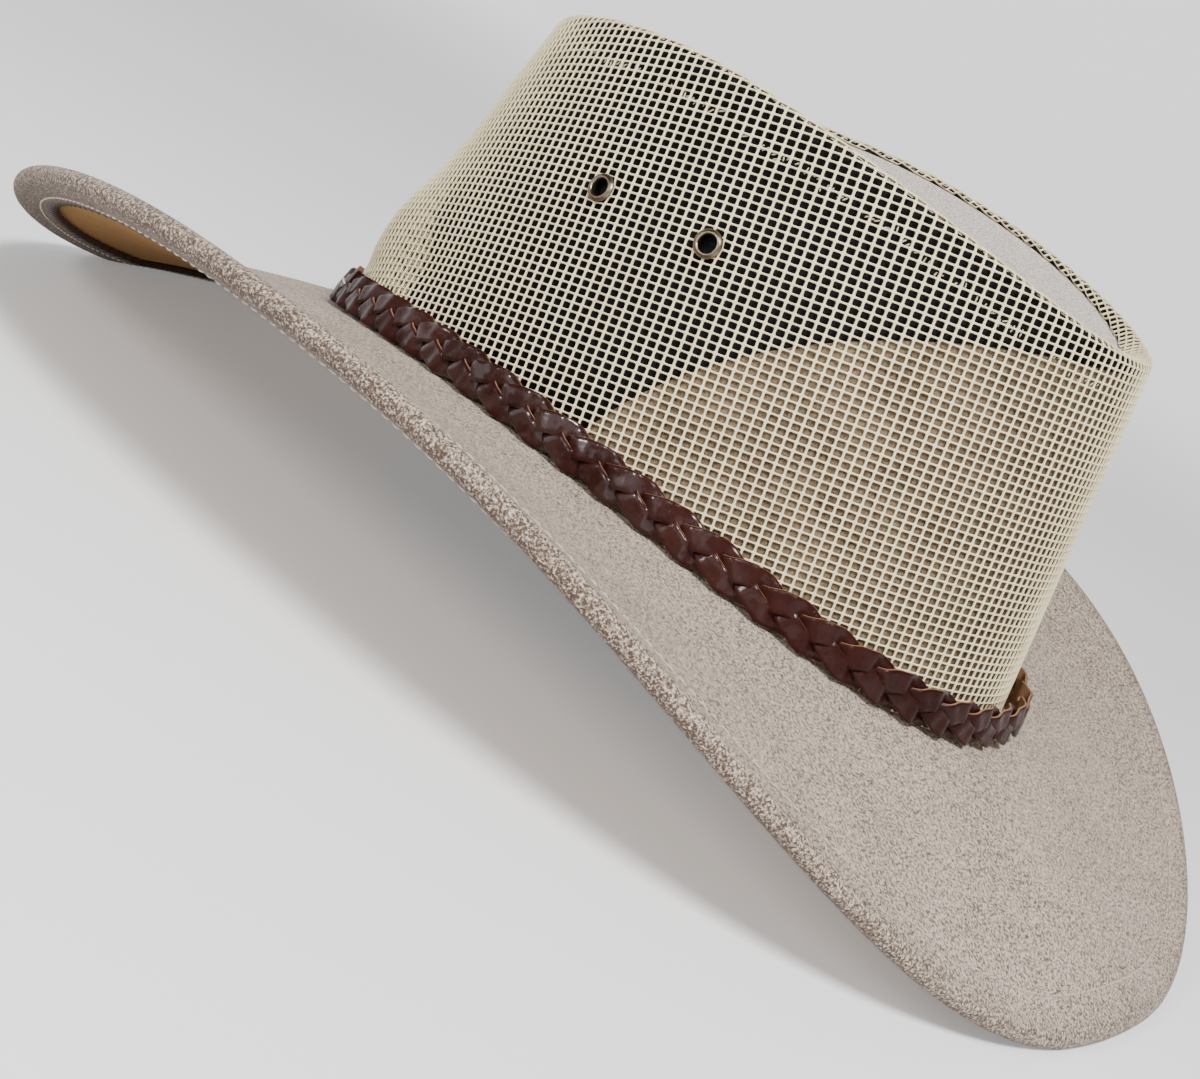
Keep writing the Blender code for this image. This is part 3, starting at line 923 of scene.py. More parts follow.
@dataclass
class Brim:
    """The suede brim, its pinked hem, its tan facing and its two rows of stitches."""

    lines: HatLines
    steps: int = 1296
    teeth: int = 216
    tooth: float = 0.0011
    hem: float = 0.0088
    collar_share: float = 0.115
    stitch_pitch: float = 0.0031
    stitch_radius: float = 0.00026
    top_seam: float = 0.0073
    under_seam: float = 0.0054

    def collar_inset(self) -> float:
        """Return how far inside the net's face the brim's collar stands."""
        lines = self.lines
        return lines.net + lines.stiffener + lines.lining + 3.0 * lines.gap

    def around(self, steps: int) -> np.ndarray:
        """Return angles that cut the brim's edge into even lengths.

        Args:
            steps: How many angles.

        Returns:
            The angles.
        """
        fine = np.linspace(-math.pi, math.pi, 8001)
        edge = self.lines.edge(fine)
        run = np.concatenate([[0.0], np.cumsum(np.linalg.norm(np.diff(edge, axis=0), axis=1))])
        return np.interp(np.arange(steps) / steps * run[-1], run, fine)

    def skin_points(self) -> tuple[np.ndarray, np.ndarray]:
        """Return the suede's section round the hat, and how scuffed and how shaded each point is.

        The section runs up the collar, out over the brim's top, round the rolled edge,
        in along the hem to its zig-zag cut and back along the inside of the skin.

        Returns:
            The points, one row an angle, and the scuffing and painted shade of each.
        """
        lines = self.lines
        t = self.around(self.steps)
        inside = lines.roll - lines.skin
        collar = self.collar_inset()
        ones = np.ones_like(t)
        wave = np.abs((np.arange(self.steps) * self.teeth / self.steps) % 1.0 * 2.0 - 1.0)
        cut = self.hem + self.tooth * (wave * 2.0 - 1.0)
        points, wear_and_shade = [], []

        def add(ring: np.ndarray, worn_and_shaded: float) -> None:
            """Keep one ring of the section and its scuffing and painted shade."""
            points.append(ring)
            wear_and_shade.append(ones * worn_and_shaded)

        add(lines.wall(t, ones * self.collar_share, ones * (collar + lines.skin)), 0.0)
        add(lines.wall(t, ones * self.collar_share, ones * collar), 0.0)
        add(lines.inner(t, collar, 0.0006), 0.0)
        for share in np.linspace(0.0, 1.0, 15)[:-1] ** 0.9:
            here = ones * share * lines.hem_share(t, self.top_seam + 0.0024)
            add(lines.on_brim(t, here, ones * lines.roll), 0.0)
        # Columns: way in from the seam, how deep the seam draws it in.
        for way, drawn in ((0.0009, 0.0), (0.0, 0.00024), (-0.0009, 0.0), (-0.0032, 0.0), (-0.0055, 0.0)):
            way_in = self.top_seam + way
            here = lines.hem_share(t, ones * way_in)
            worn_and_shaded = 0.45 * max(0.0, 1.0 - way_in / 0.0060)
            add(lines.on_brim(t, here, ones * (lines.roll - drawn)), worn_and_shaded)
        # Round the rolled edge the mark grows towards the underside: real scuffing, and painted shade where
        # the edge turns under.
        for degrees in np.linspace(90.0, -90.0, 13):
            worn_and_shaded = 0.76 - 0.26 * math.sin(math.radians(degrees))
            add(lines.on_roll(t, ones * math.radians(degrees), ones * lines.roll), worn_and_shaded)
        # Under the hem the mark passes 1 towards the cut: the dark cut edge, and painted shade over the
        # hem's underside.
        for share, worn_and_shaded in ((0.3, 1.0), (0.6, 1.0), (0.84, 1.16), (1.0, 1.9)):
            here = lines.hem_share(t, cut * share)
            add(lines.on_brim(t, here, -ones * lines.roll), worn_and_shaded)
        here = lines.hem_share(t, cut)
        add(lines.on_brim(t, here, -ones * inside), 2.0)
        add(lines.on_brim(t, lines.hem_share(t, cut * 0.5), -ones * inside), 0.3)
        for degrees in np.linspace(-90.0, 90.0, 7):
            add(lines.on_roll(t, ones * math.radians(degrees), ones * inside), 0.3)
        for share in np.linspace(1.0, 0.0, 8):
            here = ones * share * lines.hem_share(t, self.hem)
            add(lines.on_brim(t, here, ones * inside), 0.3)
        add(lines.inner(t, collar + lines.skin * 0.5, -lines.skin), 0.0)
        add(lines.inner(t, collar + lines.skin, -lines.skin * 0.5), 0.0)
        rings = np.stack(points, 1)
        rings[..., 2] = np.maximum(rings[..., 2], 0.0)
        return lines.in_frame(rings), np.stack(wear_and_shade, 1)

    def build_skin(self, finish: bpy.types.Material) -> bpy.types.Object:
        """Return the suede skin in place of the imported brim.

        Args:
            finish: The finish of its mesh.

        Returns:
            The finished piece, placed in the frame.
        """
        rings, wear_and_shade = self.skin_points()
        faces = Mesher.grid_faces(*rings.shape[:2], Axis.BOTH)
        made = Mesher.piece("brim_suede", rings.reshape(-1, 3), [faces], finish, {"wear_and_shade": wear_and_shade}, 50.0)
        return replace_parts(made, "brim")

    def build_facing(self, finish: bpy.types.Material) -> bpy.types.Object:
        """Return the tan layer between the skin and its hem, a thin closed sheet.

        Args:
            finish: The finish of its mesh.

        Returns:
            The finished piece, placed in the frame.
        """
        lines = self.lines
        t = self.around(360)
        ones = np.ones_like(t)
        half = lines.roll - lines.skin - lines.gap
        inner = self.collar_inset() + lines.skin
        points = [lines.inner(t, inner, -lines.roll - half), lines.inner(t, inner, -lines.roll + half)]
        shares = np.linspace(0.0, 1.0, 16)
        points += [lines.on_brim(t, ones * share, ones * half) for share in shares]
        points += [lines.on_roll(t, ones * math.radians(a), ones * half) for a in (50, 15, -15, -50)]
        points += [lines.on_brim(t, ones * share, -ones * half) for share in shares[::-1]]
        rings = lines.in_frame(np.stack(points, 1))
        faces = Mesher.grid_faces(*rings.shape[:2], Axis.BOTH)
        made = Mesher.piece("brim_facing_layer", rings.reshape(-1, 3), [faces], finish, None, 50.0)
        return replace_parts(made, "brim_facing")

    def build_stitches(
        self, name: str, way_in: float, side: float, finish: bpy.types.Material
    ) -> bpy.types.Object:
        """Return one row of stitches, each a short tube that dips at both ends.

        Args:
            name: The piece's name.
            way_in: How far in from the edge line the row runs.
            side: 1 for the top and -1 for the underside.
            finish: The thread.

        Returns:
            The new piece.
        """
        lines = self.lines
        length = 4.0 * 0.5 * (lines.brim_front + lines.brim_width) * math.pi / 2.0
        count = int(length / self.stitch_pitch)
        start = self.around(count)
        step = np.diff(np.append(start, start[0] + 2.0 * math.pi))
        along = np.linspace(0.06, 0.80, 5)
        t = (start[:, None] + step[:, None] * along[None]).reshape(-1)
        dip = np.array([-0.00016, 0.00006, 0.00012, 0.00006, -0.00016])
        lift = side * (lines.roll + np.tile(dip, count))
        share = lines.hem_share(t, np.full_like(t, way_in))
        points = lines.in_frame(lines.on_brim(t, share, lift)).reshape(count, 5, 3)
        points = points[points[:, :, 2].min(1) > self.stitch_radius]
        count = len(points)
        radii = self.stitch_radius * np.array([0.55, 0.95, 1.0, 0.95, 0.55])
        up = np.tile(np.array([0.0, 0.0, 1.0]), (count, 1))
        made = Mesher.tubes(name, points, radii, 5, finish, up)
        return made

    def build(self) -> list[bpy.types.Object]:
        """Return the brim's pieces.

        Returns:
            The skin, the facing and the stitches.
        """
        suede = Suede("taupe_suede_napped").material()
        facing = Cloth(
            "tan_facing_felt", (0.28, 0.150, 0.050), (0.20, 0.102, 0.030), 0.0012, 0.8
        ).material()
        pale = Thread("pale_thread", (0.60, 0.53, 0.44), (0.34, 0.28, 0.22)).material()
        return [
            self.build_skin(suede),
            self.build_facing(facing),
            self.build_stitches("brim_top_stitches", self.top_seam, 1.0, pale),
            self.build_stitches("brim_under_stitches", self.under_seam, -1.0, pale),
        ]


# ---------------------------------------------------------------------------
# The crown
# ---------------------------------------------------------------------------


@dataclass
class FlatCut:
    """The net's cut laid flat, with its rows along the first axis.

    The wall is close to a cone, so it unrolls. The base line becomes a flat curve whose
    heading at t is the sum of its turning within the wall, and the wall above each point
    of it is a straight ray. The net goes on over the ridge's round and down the lip, so
    the way up a ray counts the round's arc and the lip's length too.
    """

    lines: HatLines
    first: float = -3.40
    last: float = 4.40
    count: int = 3121
    table: np.ndarray = field(init=False)
    heading: np.ndarray = field(init=False)
    curve: np.ndarray = field(init=False)
    ray: np.ndarray = field(init=False)
    length: np.ndarray = field(init=False)

    def __post_init__(self) -> None:
        """Work out the flat curve and its rays."""
        lines = self.lines
        t = np.linspace(self.first, self.last, self.count)
        zero, one = np.zeros_like(t), np.ones_like(t)
        foot, top = lines.wall(t, zero, zero), lines.wall(t, one, zero)
        along = np.gradient(foot, t, axis=0)
        speed = np.linalg.norm(along, axis=1)
        along /= speed[:, None]
        way = top - foot
        size = np.linalg.norm(way, axis=1)
        way /= size[:, None]
        across = way - (way * along).sum(1, keepdims=True) * along
        across /= np.linalg.norm(across, axis=1, keepdims=True)
        turning = (np.gradient(along, t, axis=0) * across).sum(1)
        heading = self._sum(turning, t)
        flat_along = np.stack([np.cos(heading), np.sin(heading)], -1)
        flat_across = np.stack([-np.sin(heading), np.cos(heading)], -1)
        lean_along, lean_across = (way * along).sum(1), (way * across).sum(1)
        self.table, self.heading, self.length = t, heading, size
        self.curve = np.stack([self._sum(speed * flat_along[:, k], t) for k in (0, 1)], -1)
        self.ray = flat_along * lean_along[:, None] + flat_across * lean_across[:, None]

    def _sum(self, rate: np.ndarray, t: np.ndarray) -> np.ndarray:
        """Return the running sum of a rate over t, zero at the front."""
        total = np.concatenate([[0.0], np.cumsum((rate[1:] + rate[:-1]) * 0.5 * np.diff(t))])
        return total - np.interp(0.0, t, total)

    def unroll(self, flat: np.ndarray) -> tuple[np.ndarray, np.ndarray]:
        """Return the angle and the way up of flat points, by halving the range of t.

        Args:
            flat: Points of the flat cut, of shape (count, 2).

        Returns:
            The angle t and the way up from the base line, each of shape (count,).
        """
        low = np.full(len(flat), self.first)
        high = np.full(len(flat), self.last)
        for _ in range(24):
            middle = 0.5 * (low + high)
            curve, ray = self._at(middle)
            gap = flat - curve
            right = ray[:, 0] * gap[:, 1] - ray[:, 1] * gap[:, 0] < 0.0
            low = np.where(right, middle, low)
            high = np.where(right, high, middle)
        t = 0.5 * (low + high)
        curve, ray = self._at(t)
        return t, ((flat - curve) * ray).sum(1)

    def _at(self, t: np.ndarray) -> tuple[np.ndarray, np.ndarray]:
        """Return the flat curve's points and rays at t.

        Args:
            t: Angles round the hat, 0 at the front.

        Returns:
            The points and the rays.
        """
        curve = np.stack([np.interp(t, self.table, self.curve[:, k]) for k in (0, 1)], -1)
        ray = np.stack([np.interp(t, self.table, self.ray[:, k]) for k in (0, 1)], -1)
        return curve, ray

    def parts(self, t: np.ndarray) -> tuple[np.ndarray, np.ndarray, np.ndarray]:
        """Return how far up a ray the wall, the round and the lip end.

        Args:
            t: Angles round the hat, 0 at the front.

        Returns:
            The three lengths along each ray.
        """
        lines = self.lines
        lean = lines.lean(t)
        height = lines.ridge_height(t) - lines.base_height(t) - lines.gap
        foot = lines.ridge_radius * (1.0 - np.sin(lean))
        wall = np.interp(t, self.table, self.length) * (1.0 - foot / height)
        turn = math.radians(90.0) + lines.lip_slope - lean
        over = wall + lines.ridge_radius * turn
        return wall, over, over + lines.lip_drop(t) / math.sin(lines.lip_slope)

    def place(self, t: np.ndarray, up: np.ndarray, lift: np.ndarray) -> np.ndarray:
        """Return points of the crown a way up from its base, over the net's face by lift.

        Up to the round's start they follow the wall. From there a radius about the
        round's centre turns from the wall's normal to the lip's, and the lip runs on
        straight, inward and down.

        Args:
            t: Angles round the hat, 0 at the front.
            up: The way up the cut from its base.
            lift: The height over the net's face.

        Returns:
            The points before they are moved into the frame.
        """
        lines = self.lines
        lean = lines.lean(t)
        wall, over, _ = self.parts(t)
        share = np.minimum(up, wall) / np.interp(t, self.table, self.length)
        lift = lift + lines.swell(t, share) * (up < wall)
        points = lines.wall(t, share, np.zeros_like(t))
        _, normal = lines.ridge(t)
        angle = lean + np.clip((up - wall) / lines.ridge_radius, 0.0, (over - wall) / lines.ridge_radius)
        radius = lines.ridge_radius + lift
        on = np.maximum(up - over, 0.0)
        inward = lines.ridge_radius * np.cos(lean) - radius * np.cos(angle) + on * math.cos(lines.lip_slope)
        rise = radius * np.sin(angle) - lines.ridge_radius * np.sin(lean) - on * math.sin(lines.lip_slope)
        plan = points[..., :2] - normal * inward[..., None]
        return np.concatenate([plan, (points[..., 2] + rise)[..., None]], -1)


@dataclass
class Net:
    """The crown's open net: rounded yarns round rounded-off oblong openings."""

    lines: HatLines
    cut: FlatCut
    pitch: tuple = (0.00274, 0.00206)
    yarn: tuple = (0.00070, 0.00052)
    corner: float = 0.00024
    depth: float = 0.00072
    band_foot: float = 0.0008
    lap: float = 0.060
    under: float = 0.00130
    eyelet_hole: float = 0.00290
    eyelet_clear: float = 0.00255
    eyelets: tuple = ()
    # The edge of the doubled layer at the back. Columns: share of the way up, angle.
    lap_edge: tuple = (
        (0.00, -120.0), (0.17, -122.5), (0.25, -125.5), (0.35, -131.5), (0.44, -135.5),
        (0.52, -138.5), (0.60, -147.0), (0.72, -163.0), (0.85, -174.0), (1.30, -178.0),
    )

    def eight(self, half: np.ndarray, corner: float) -> np.ndarray:
        """Return an oblong's outline with its corners cut off, as eight flat points.

        Args:
            half: The half sizes.
            corner: How much is cut off each corner.

        Returns:
            The eight points.
        """
        a, b = half
        x = np.array([corner - a, a - corner, a, a, a - corner, corner - a, -a, -a])
        y = np.array([-b, -b, corner - b, b - corner, b, b, b - corner, corner - b])
        return np.stack([x, y], -1)

    def push(self, points: np.ndarray) -> np.ndarray:
        """Return points crowded away from the eyelets.

        A point at radius r from an eyelet moves along the wall to the fourth root of
        the sum of r and the hole's radius, each to the fourth power.
        """
        for centre, normal in self.eyelets:
            gap = points - centre
            along = (gap @ normal)[:, None] * normal
            flat = gap - along
            radius = np.maximum(np.linalg.norm(flat, axis=1), 1e-7)
            moved = (radius**4 + self.eyelet_hole**4) ** 0.25
            near = (radius < 0.012) & (np.abs(gap @ normal) < 0.006)
            points = np.where(near[:, None], centre + along + flat * (moved / radius)[:, None], points)
        return points

    def cells(self, first: float, last: float) -> tuple[np.ndarray, np.ndarray]:
        """Return the row and column numbers of the cells between two angles.

        Args:
            first: The first angle.
            last: The last angle.

        Returns:
            The row numbers and the column numbers.
        """
        column = np.arange(-140, 200)
        row = np.arange(-60, 110)
        i, j = (grid.ravel() for grid in np.meshgrid(column, row, indexing="ij"))
        flat = np.stack([(i + 0.5) * self.pitch[0], (j + 0.5) * self.pitch[1]], -1)
        t, up = self.cut.unroll(flat)
        _, _, end = self.cut.parts(t)
        share = up / np.interp(t, self.cut.table, self.cut.length)
        table = np.array(self.lap_edge)
        edge = 2.0 * math.pi + np.radians(np.interp(share, table[:, 0], table[:, 1]))
        limit = np.where(t > math.pi, edge, np.inf)
        keep = (up > self.band_foot) & (up < end) & (t >= first) & (t < np.minimum(last, limit))
        points = self.cut.place(t, np.clip(up, 0.0, None), np.zeros_like(t))
        for centre, _ in self.eyelets:
            keep &= np.linalg.norm(points - centre, axis=1) > self.eyelet_clear
        return i[keep], j[keep]

    def build(self, name: str, first: float, last: float, finish: bpy.types.Material) -> bpy.types.Object:
        """Return the net between two angles of the flat cut.

        Each cell shares its four corners with its neighbours. Rings of eight points
        round its opening stand at four depths, so each yarn has a rounded face and a
        flat back. Where a cell has no neighbour, a wall closes the yarn's cut side.

        Args:
            name: The piece's name.
            first: Its first angle.
            last: Its last angle.
            finish: Its material.

        Returns:
            The new piece.
        """
        i, j = self.cells(first, last)
        count = len(i)
        i0, j0 = i.min(), j.min()
        wide = j.max() - j0 + 2
        ids = (i - i0) * wide + (j - j0)
        corner = np.stack([ids, ids + wide, ids + wide + 1, ids + 1], -1)
        used, corner = np.unique(corner, return_inverse=True)
        corner = corner.reshape(count, 4)
        corner_flat = np.stack([(used // wide + i0) * self.pitch[0], (used % wide + j0) * self.pitch[1]], -1)
        middle = np.stack([(i + 0.5) * self.pitch[0], (j + 0.5) * self.pitch[1]], -1)
        half = (np.array(self.pitch) - np.array(self.yarn)) * 0.5
        inner = middle[:, None] + self.eight(half, self.corner)[None]
        outer = middle[:, None] + self.eight(half + np.array(self.yarn) * 0.26, self.corner * 1.5)[None]
        under = middle[:, None] + self.eight(half + np.array(self.yarn) * 0.14, self.corner * 1.2)[None]
        flats = [corner_flat, outer.reshape(-1, 2), inner.reshape(-1, 2), under.reshape(-1, 2), corner_flat]
        depths = [0.0, 0.15, 0.50, 0.86, 1.0]
        starts = np.concatenate([[0], np.cumsum([len(flat) for flat in flats])])
        flat = np.concatenate(flats)
        depth = np.concatenate([np.full(len(f), d) for f, d in zip(flats, depths)])
        t, up = self.cut.unroll(flat)
        _, _, end = self.cut.parts(t)
        t = np.clip(t, first - 0.001 if first < -3.0 else -9.0, 9.0)
        up = np.clip(up, self.band_foot * 0.5, end)
        under = smooth(t, math.radians(170.0), math.radians(176.0)) * self.under
        points = self.cut.place(t, up, -depth * self.depth - under)
        points = self.push(points)
        faces = self.faces(corner, count, starts)
        faces += [self.sides(i, j, corner, starts)]
        quads = np.concatenate([f for f in faces if f.shape[1] == 4])
        threes = np.concatenate([f for f in faces if f.shape[1] == 3])
        # The crest mark drives the yarn's painted shade on its sides and back.
        marks = {"crest": 1.0 - depth}
        points = self.lines.in_frame(points)
        return Mesher.piece(name, points, [quads, threes], finish, marks)

    def faces(self, corner: np.ndarray, count: int, starts: np.ndarray) -> list[np.ndarray]:
        """Return each cell's faces, front, opening and back.

        Args:
            corner: Each cell's corner points.
            count: How many cells there are.
            starts: Where each kind of point starts.

        Returns:
            The faces, grouped by their number of corners.
        """
        ring = [starts[k] + np.arange(count * 8).reshape(count, 8) for k in (1, 2, 3)]
        back = corner + starts[4]
        made = []
        for side in range(4):
            a, b = corner[:, side], corner[:, (side + 1) % 4]
            p, q = ring[0][:, side * 2], ring[0][:, side * 2 + 1]
            r = ring[0][:, (side * 2 + 2) % 8]
            made += [np.stack([a, b, q, p], -1), np.stack([b, r, q], -1)]
            a, b = back[:, side], back[:, (side + 1) % 4]
            p, q = ring[2][:, side * 2], ring[2][:, side * 2 + 1]
            r = ring[2][:, (side * 2 + 2) % 8]
            made += [np.stack([a, p, q, b], -1), np.stack([b, q, r], -1)]
        for upper, lower in ((ring[0], ring[1]), (ring[1], ring[2])):
            turned, below = np.roll(upper, -1, 1), np.roll(lower, -1, 1)
            made.append(np.stack([upper, turned, below, lower], -1).reshape(-1, 4))
        return made

    def sides(self, i: np.ndarray, j: np.ndarray, corner: np.ndarray, starts: np.ndarray) -> np.ndarray:
        """Return the walls along the sides of cells that have no neighbour there.

        Args:
            i: The cells' row numbers.
            j: The cells' column numbers.
            corner: Each cell's corner points.
            starts: Where each kind of point starts.

        Returns:
            The walls' faces.
        """
        here = set(zip(i.tolist(), j.tolist()))
        walls = []
        for side, (di, dj) in enumerate(((0, -1), (1, 0), (0, 1), (-1, 0))):
            pairs = np.stack([i + di, j + dj], -1)
            bare = np.array([tuple(pair) not in here for pair in pairs.tolist()])
            a, b = corner[bare, side], corner[bare, (side + 1) % 4]
            walls.append(np.stack([b, a, a + starts[4], b + starts[4]], -1))
        return np.concatenate(walls)


@dataclass
class Crown:
    """The net and what stands inside it: stiffener, lining, top panel and eyelets."""

    lines: HatLines
    arch_spread: float = math.radians(82.0)
    arch_top: float = 0.95
    arch_power: float = 0.6
    panel: float = 0.0015
    panel_sag: float = 0.0080
    eyelet_spread: float = math.radians(9.5)
    eyelet_shares: tuple = (0.63, 0.60)
    eyelet_outer: float = 0.0036
    eyelet_hole: float = 0.0021
    seam_depth: float = 0.0080
    lining_gap: float = 0.0010
    backing_inset: float = 0.0012
    tuck: float = 0.0008
    tuck_drop: float = 0.0006
    cut: FlatCut = field(init=False)

    def __post_init__(self) -> None:
        """Lay the net's cut flat."""
        self.cut = FlatCut(self.lines)

    def eyelet_places(self) -> list[tuple[str, np.ndarray, np.ndarray]]:
        """Return each eyelet's name, centre on the net's face and outward normal.

        Returns:
            The names, centres and normals, one entry an eyelet.
        """
        places = []
        for side, middle in (("right", -0.5 * math.pi), ("left", 0.5 * math.pi)):
            lead = self.eyelet_spread * -math.copysign(1.0, middle)
            for end, t, level in zip(("front", "back"), (middle + lead, middle - lead), self.eyelet_shares):
                angle = np.array([t, t, t + 0.01])
                share = np.array([0.0, 0.05, 0.0]) + level
                here, above, beside = self.lines.wall(angle, share, np.zeros(3))
                normal = np.cross(beside - here, above - here)
                places.append((f"eyelet_{side}_{end}", here, normal / np.linalg.norm(normal)))
        return places

    def build_net(self) -> list[bpy.types.Object]:
        """Return the net in four pieces, with a lapped seam at the back.

        Returns:
            The four pieces.
        """
        yarn = CoatedYarn("ivory_coated_yarn").material()
        eyelets = tuple((centre, normal) for _, centre, normal in self.eyelet_places())
        net = Net(self.lines, self.cut, eyelets=eyelets)
        spans = (
            ("net_right_back", -math.pi - net.lap, -0.5 * math.pi),
            ("net_right_front", -0.5 * math.pi, 0.0),
            ("net_left_front", 0.0, 0.5 * math.pi),
            ("net_left_back", 0.5 * math.pi, 4.3),
        )
        made = [net.build(name, first, last, yarn) for name, first, last in spans]
        for piece in made:
            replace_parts(piece, "crown_net")
        return made

    def build_seam_ends(self) -> bpy.types.Object:
        """Return the frayed yarn ends of the seam allowance that show behind the net.

        Short tubes lie in a broken line a fixed way below the ridge, each turned by its
        own random angle within the wall.

        Returns:
            The finished piece, placed in the frame.
        """
        random = np.random.default_rng(7)
        t = self.lines.round_angles(420)
        t = t[random.random(len(t)) < 0.62]
        wall, _, _ = self.cut.parts(np.angle(np.exp(1j * t)))
        t = np.angle(np.exp(1j * t))
        up = wall - self.seam_depth + random.normal(0.0, 0.0005, len(t)) + 0.0006 * np.sin(t * 23.0)
        turn = random.uniform(0.5, 1.9, len(t))
        reach = random.uniform(0.0005, 0.0010, len(t))
        along = np.linspace(-1.0, 1.0, 4)
        ups = up[:, None] + along[None] * (reach * np.sin(turn))[:, None]
        ts = t[:, None] + along[None] * (reach * np.cos(turn))[:, None] / 0.085
        lift = np.full(ts.shape, -0.00078) + 0.00008 * along[None]
        points = self.cut.place(ts.ravel(), ups.ravel(), lift.ravel()).reshape(*ts.shape, 3)
        points = self.lines.in_frame(points)
        thread = Thread("frayed_yarn", (0.62, 0.56, 0.42), (0.30, 0.23, 0.13)).material()
        up_way = np.tile(np.array([0.0, 0.0, 1.0]), (len(t), 1))
        radii = np.array([0.00016, 0.00022, 0.00020, 0.00012])
        return Mesher.tubes("net_seam_ends", points, radii, 5, thread, up_way)

    def build_lining(self) -> bpy.types.Object:
        """Return the black lining: a bag up the wall, under the lip and under the panel.

        Returns:
            The finished piece, placed in the frame.
        """
        lines = self.lines
        t = lines.round_angles(240)
        ones = np.ones_like(t)
        inset = lines.net + lines.stiffener + 2.0 * lines.gap
        centre_in, centre_rise = lines.round_centre(t)
        end_in, end_rise = lines.lip_end(t)
        skins = []
        for extra in (0.0, lines.lining):
            shares = (0.0, 0.25, 0.5, 0.75, 0.955 - extra * 12.0)
            rings = [lines.wall(t, ones * s, ones * (inset + extra)) for s in shares]
            radius = lines.ridge_radius - self.lining_gap
            pocket_in = end_in - 0.0013
            pocket_rise = centre_in + centre_rise + radius * math.sqrt(2.0) - pocket_in
            rim = lines.at_ridge(t, pocket_in + extra * 0.5, end_rise - 0.0027 - extra)
            if extra:
                rings += [rings[-1] * (1.0 - share) + rim * share for share in (0.2, 0.4, 0.6, 0.8)]
            else:
                for angle in (0.35, 1.2, 2.2):
                    inward = centre_in - radius * math.cos(angle)
                    rings.append(lines.at_ridge(t, inward, centre_rise + radius * math.sin(angle)))
                rings.append(lines.at_ridge(t, pocket_in, pocket_rise))
            rings.append(rim)
            middle = np.array([0.0, 0.0, rim[:, 2].mean() - self.panel_sag])
            for share in (0.8, 0.55, 0.3, 0.05):
                ring = middle + (rim - middle) * share
                ring[:, 2] = middle[2] + (rim[:, 2] - middle[2]) * share**2
                rings.append(ring)
            skins.append(np.stack(rings, 1))
        rings = np.concatenate([skins[0], skins[1][:, ::-1]], 1)
        rings = lines.in_frame(rings)
        rows, columns = rings.shape[:2]
        quads = Mesher.grid_faces(rows, columns, Axis.BOTH)
        centre = columns // 2 - 1
        tip = (quads[:, 0] % columns) == centre
        ends = [np.arange(rows) * columns + centre, np.arange(rows)[::-1] * columns + centre + 1]
        quads = quads[~tip]
        black = Cloth(
            "black_lining_cloth", (0.012, 0.012, 0.013), (0.004, 0.004, 0.004), 0.0006, 0.9
        ).material()
        points = rings.reshape(-1, 3)
        tips = np.stack([points[ends[0]].mean(0), points[ends[1]].mean(0)])
        points = np.concatenate([points, tips])
        fans = []
        for k, ring in enumerate(ends):
            tip_id = np.full(rows, len(points) - 2 + k)
            fans.append(np.stack([ring, np.roll(ring, -1), tip_id], -1))
        fans = np.concatenate(fans)
        made = Mesher.piece("crown_lining_cloth", points, [quads, fans], black)
        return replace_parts(made, "crown_lining")

    def build_stiffener(self) -> bpy.types.Object:
        """Return the cream backing: an arch behind the front, as high as its formula.

        Its edge at angle t stands at the top share times one less the square of t over
        the spread, raised to a power.

        Returns:
            The finished piece, placed in the frame.
        """
        lines = self.lines
        outer = self.backing_inset
        across = np.sin(np.linspace(-0.5, 0.5, 161) * math.pi) * self.arch_spread * 0.995
        top = self.arch_top * (1.0 - (across / self.arch_spread) ** 2) ** self.arch_power
        rings = []
        faces = ((outer, np.linspace(0.0, 1.0, 24)), (outer + lines.stiffener, np.linspace(1.0, 0.0, 12)))
        for inset, shares in faces:
            rings += [lines.wall(across, top * s, np.full_like(across, inset)) for s in shares]
        rings = lines.in_frame(np.stack(rings, 1))
        rows, columns = rings.shape[:2]
        grid = Mesher.grid_faces(columns, rows, Axis.AROUND)
        quads = (grid % rows) * columns + grid // rows
        caps = np.stack([np.arange(columns), (rows - 1) * columns + np.arange(columns)[::-1]])
        # Painted shade: the backing's deep dark mottle stands for the shade inside the net's openings, over
        # its own cream fibre.
        cream = Cloth(
            "cream_backing_felt", (0.28, 0.205, 0.130), (0.05, 0.032, 0.017), 0.0009, 0.9
        ).material()
        points = rings.reshape(-1, 3)
        made = Mesher.piece("front_backing", points, [quads, caps[:, ::-1]], cream, None, 50.0)
        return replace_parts(made, "front_stiffener")

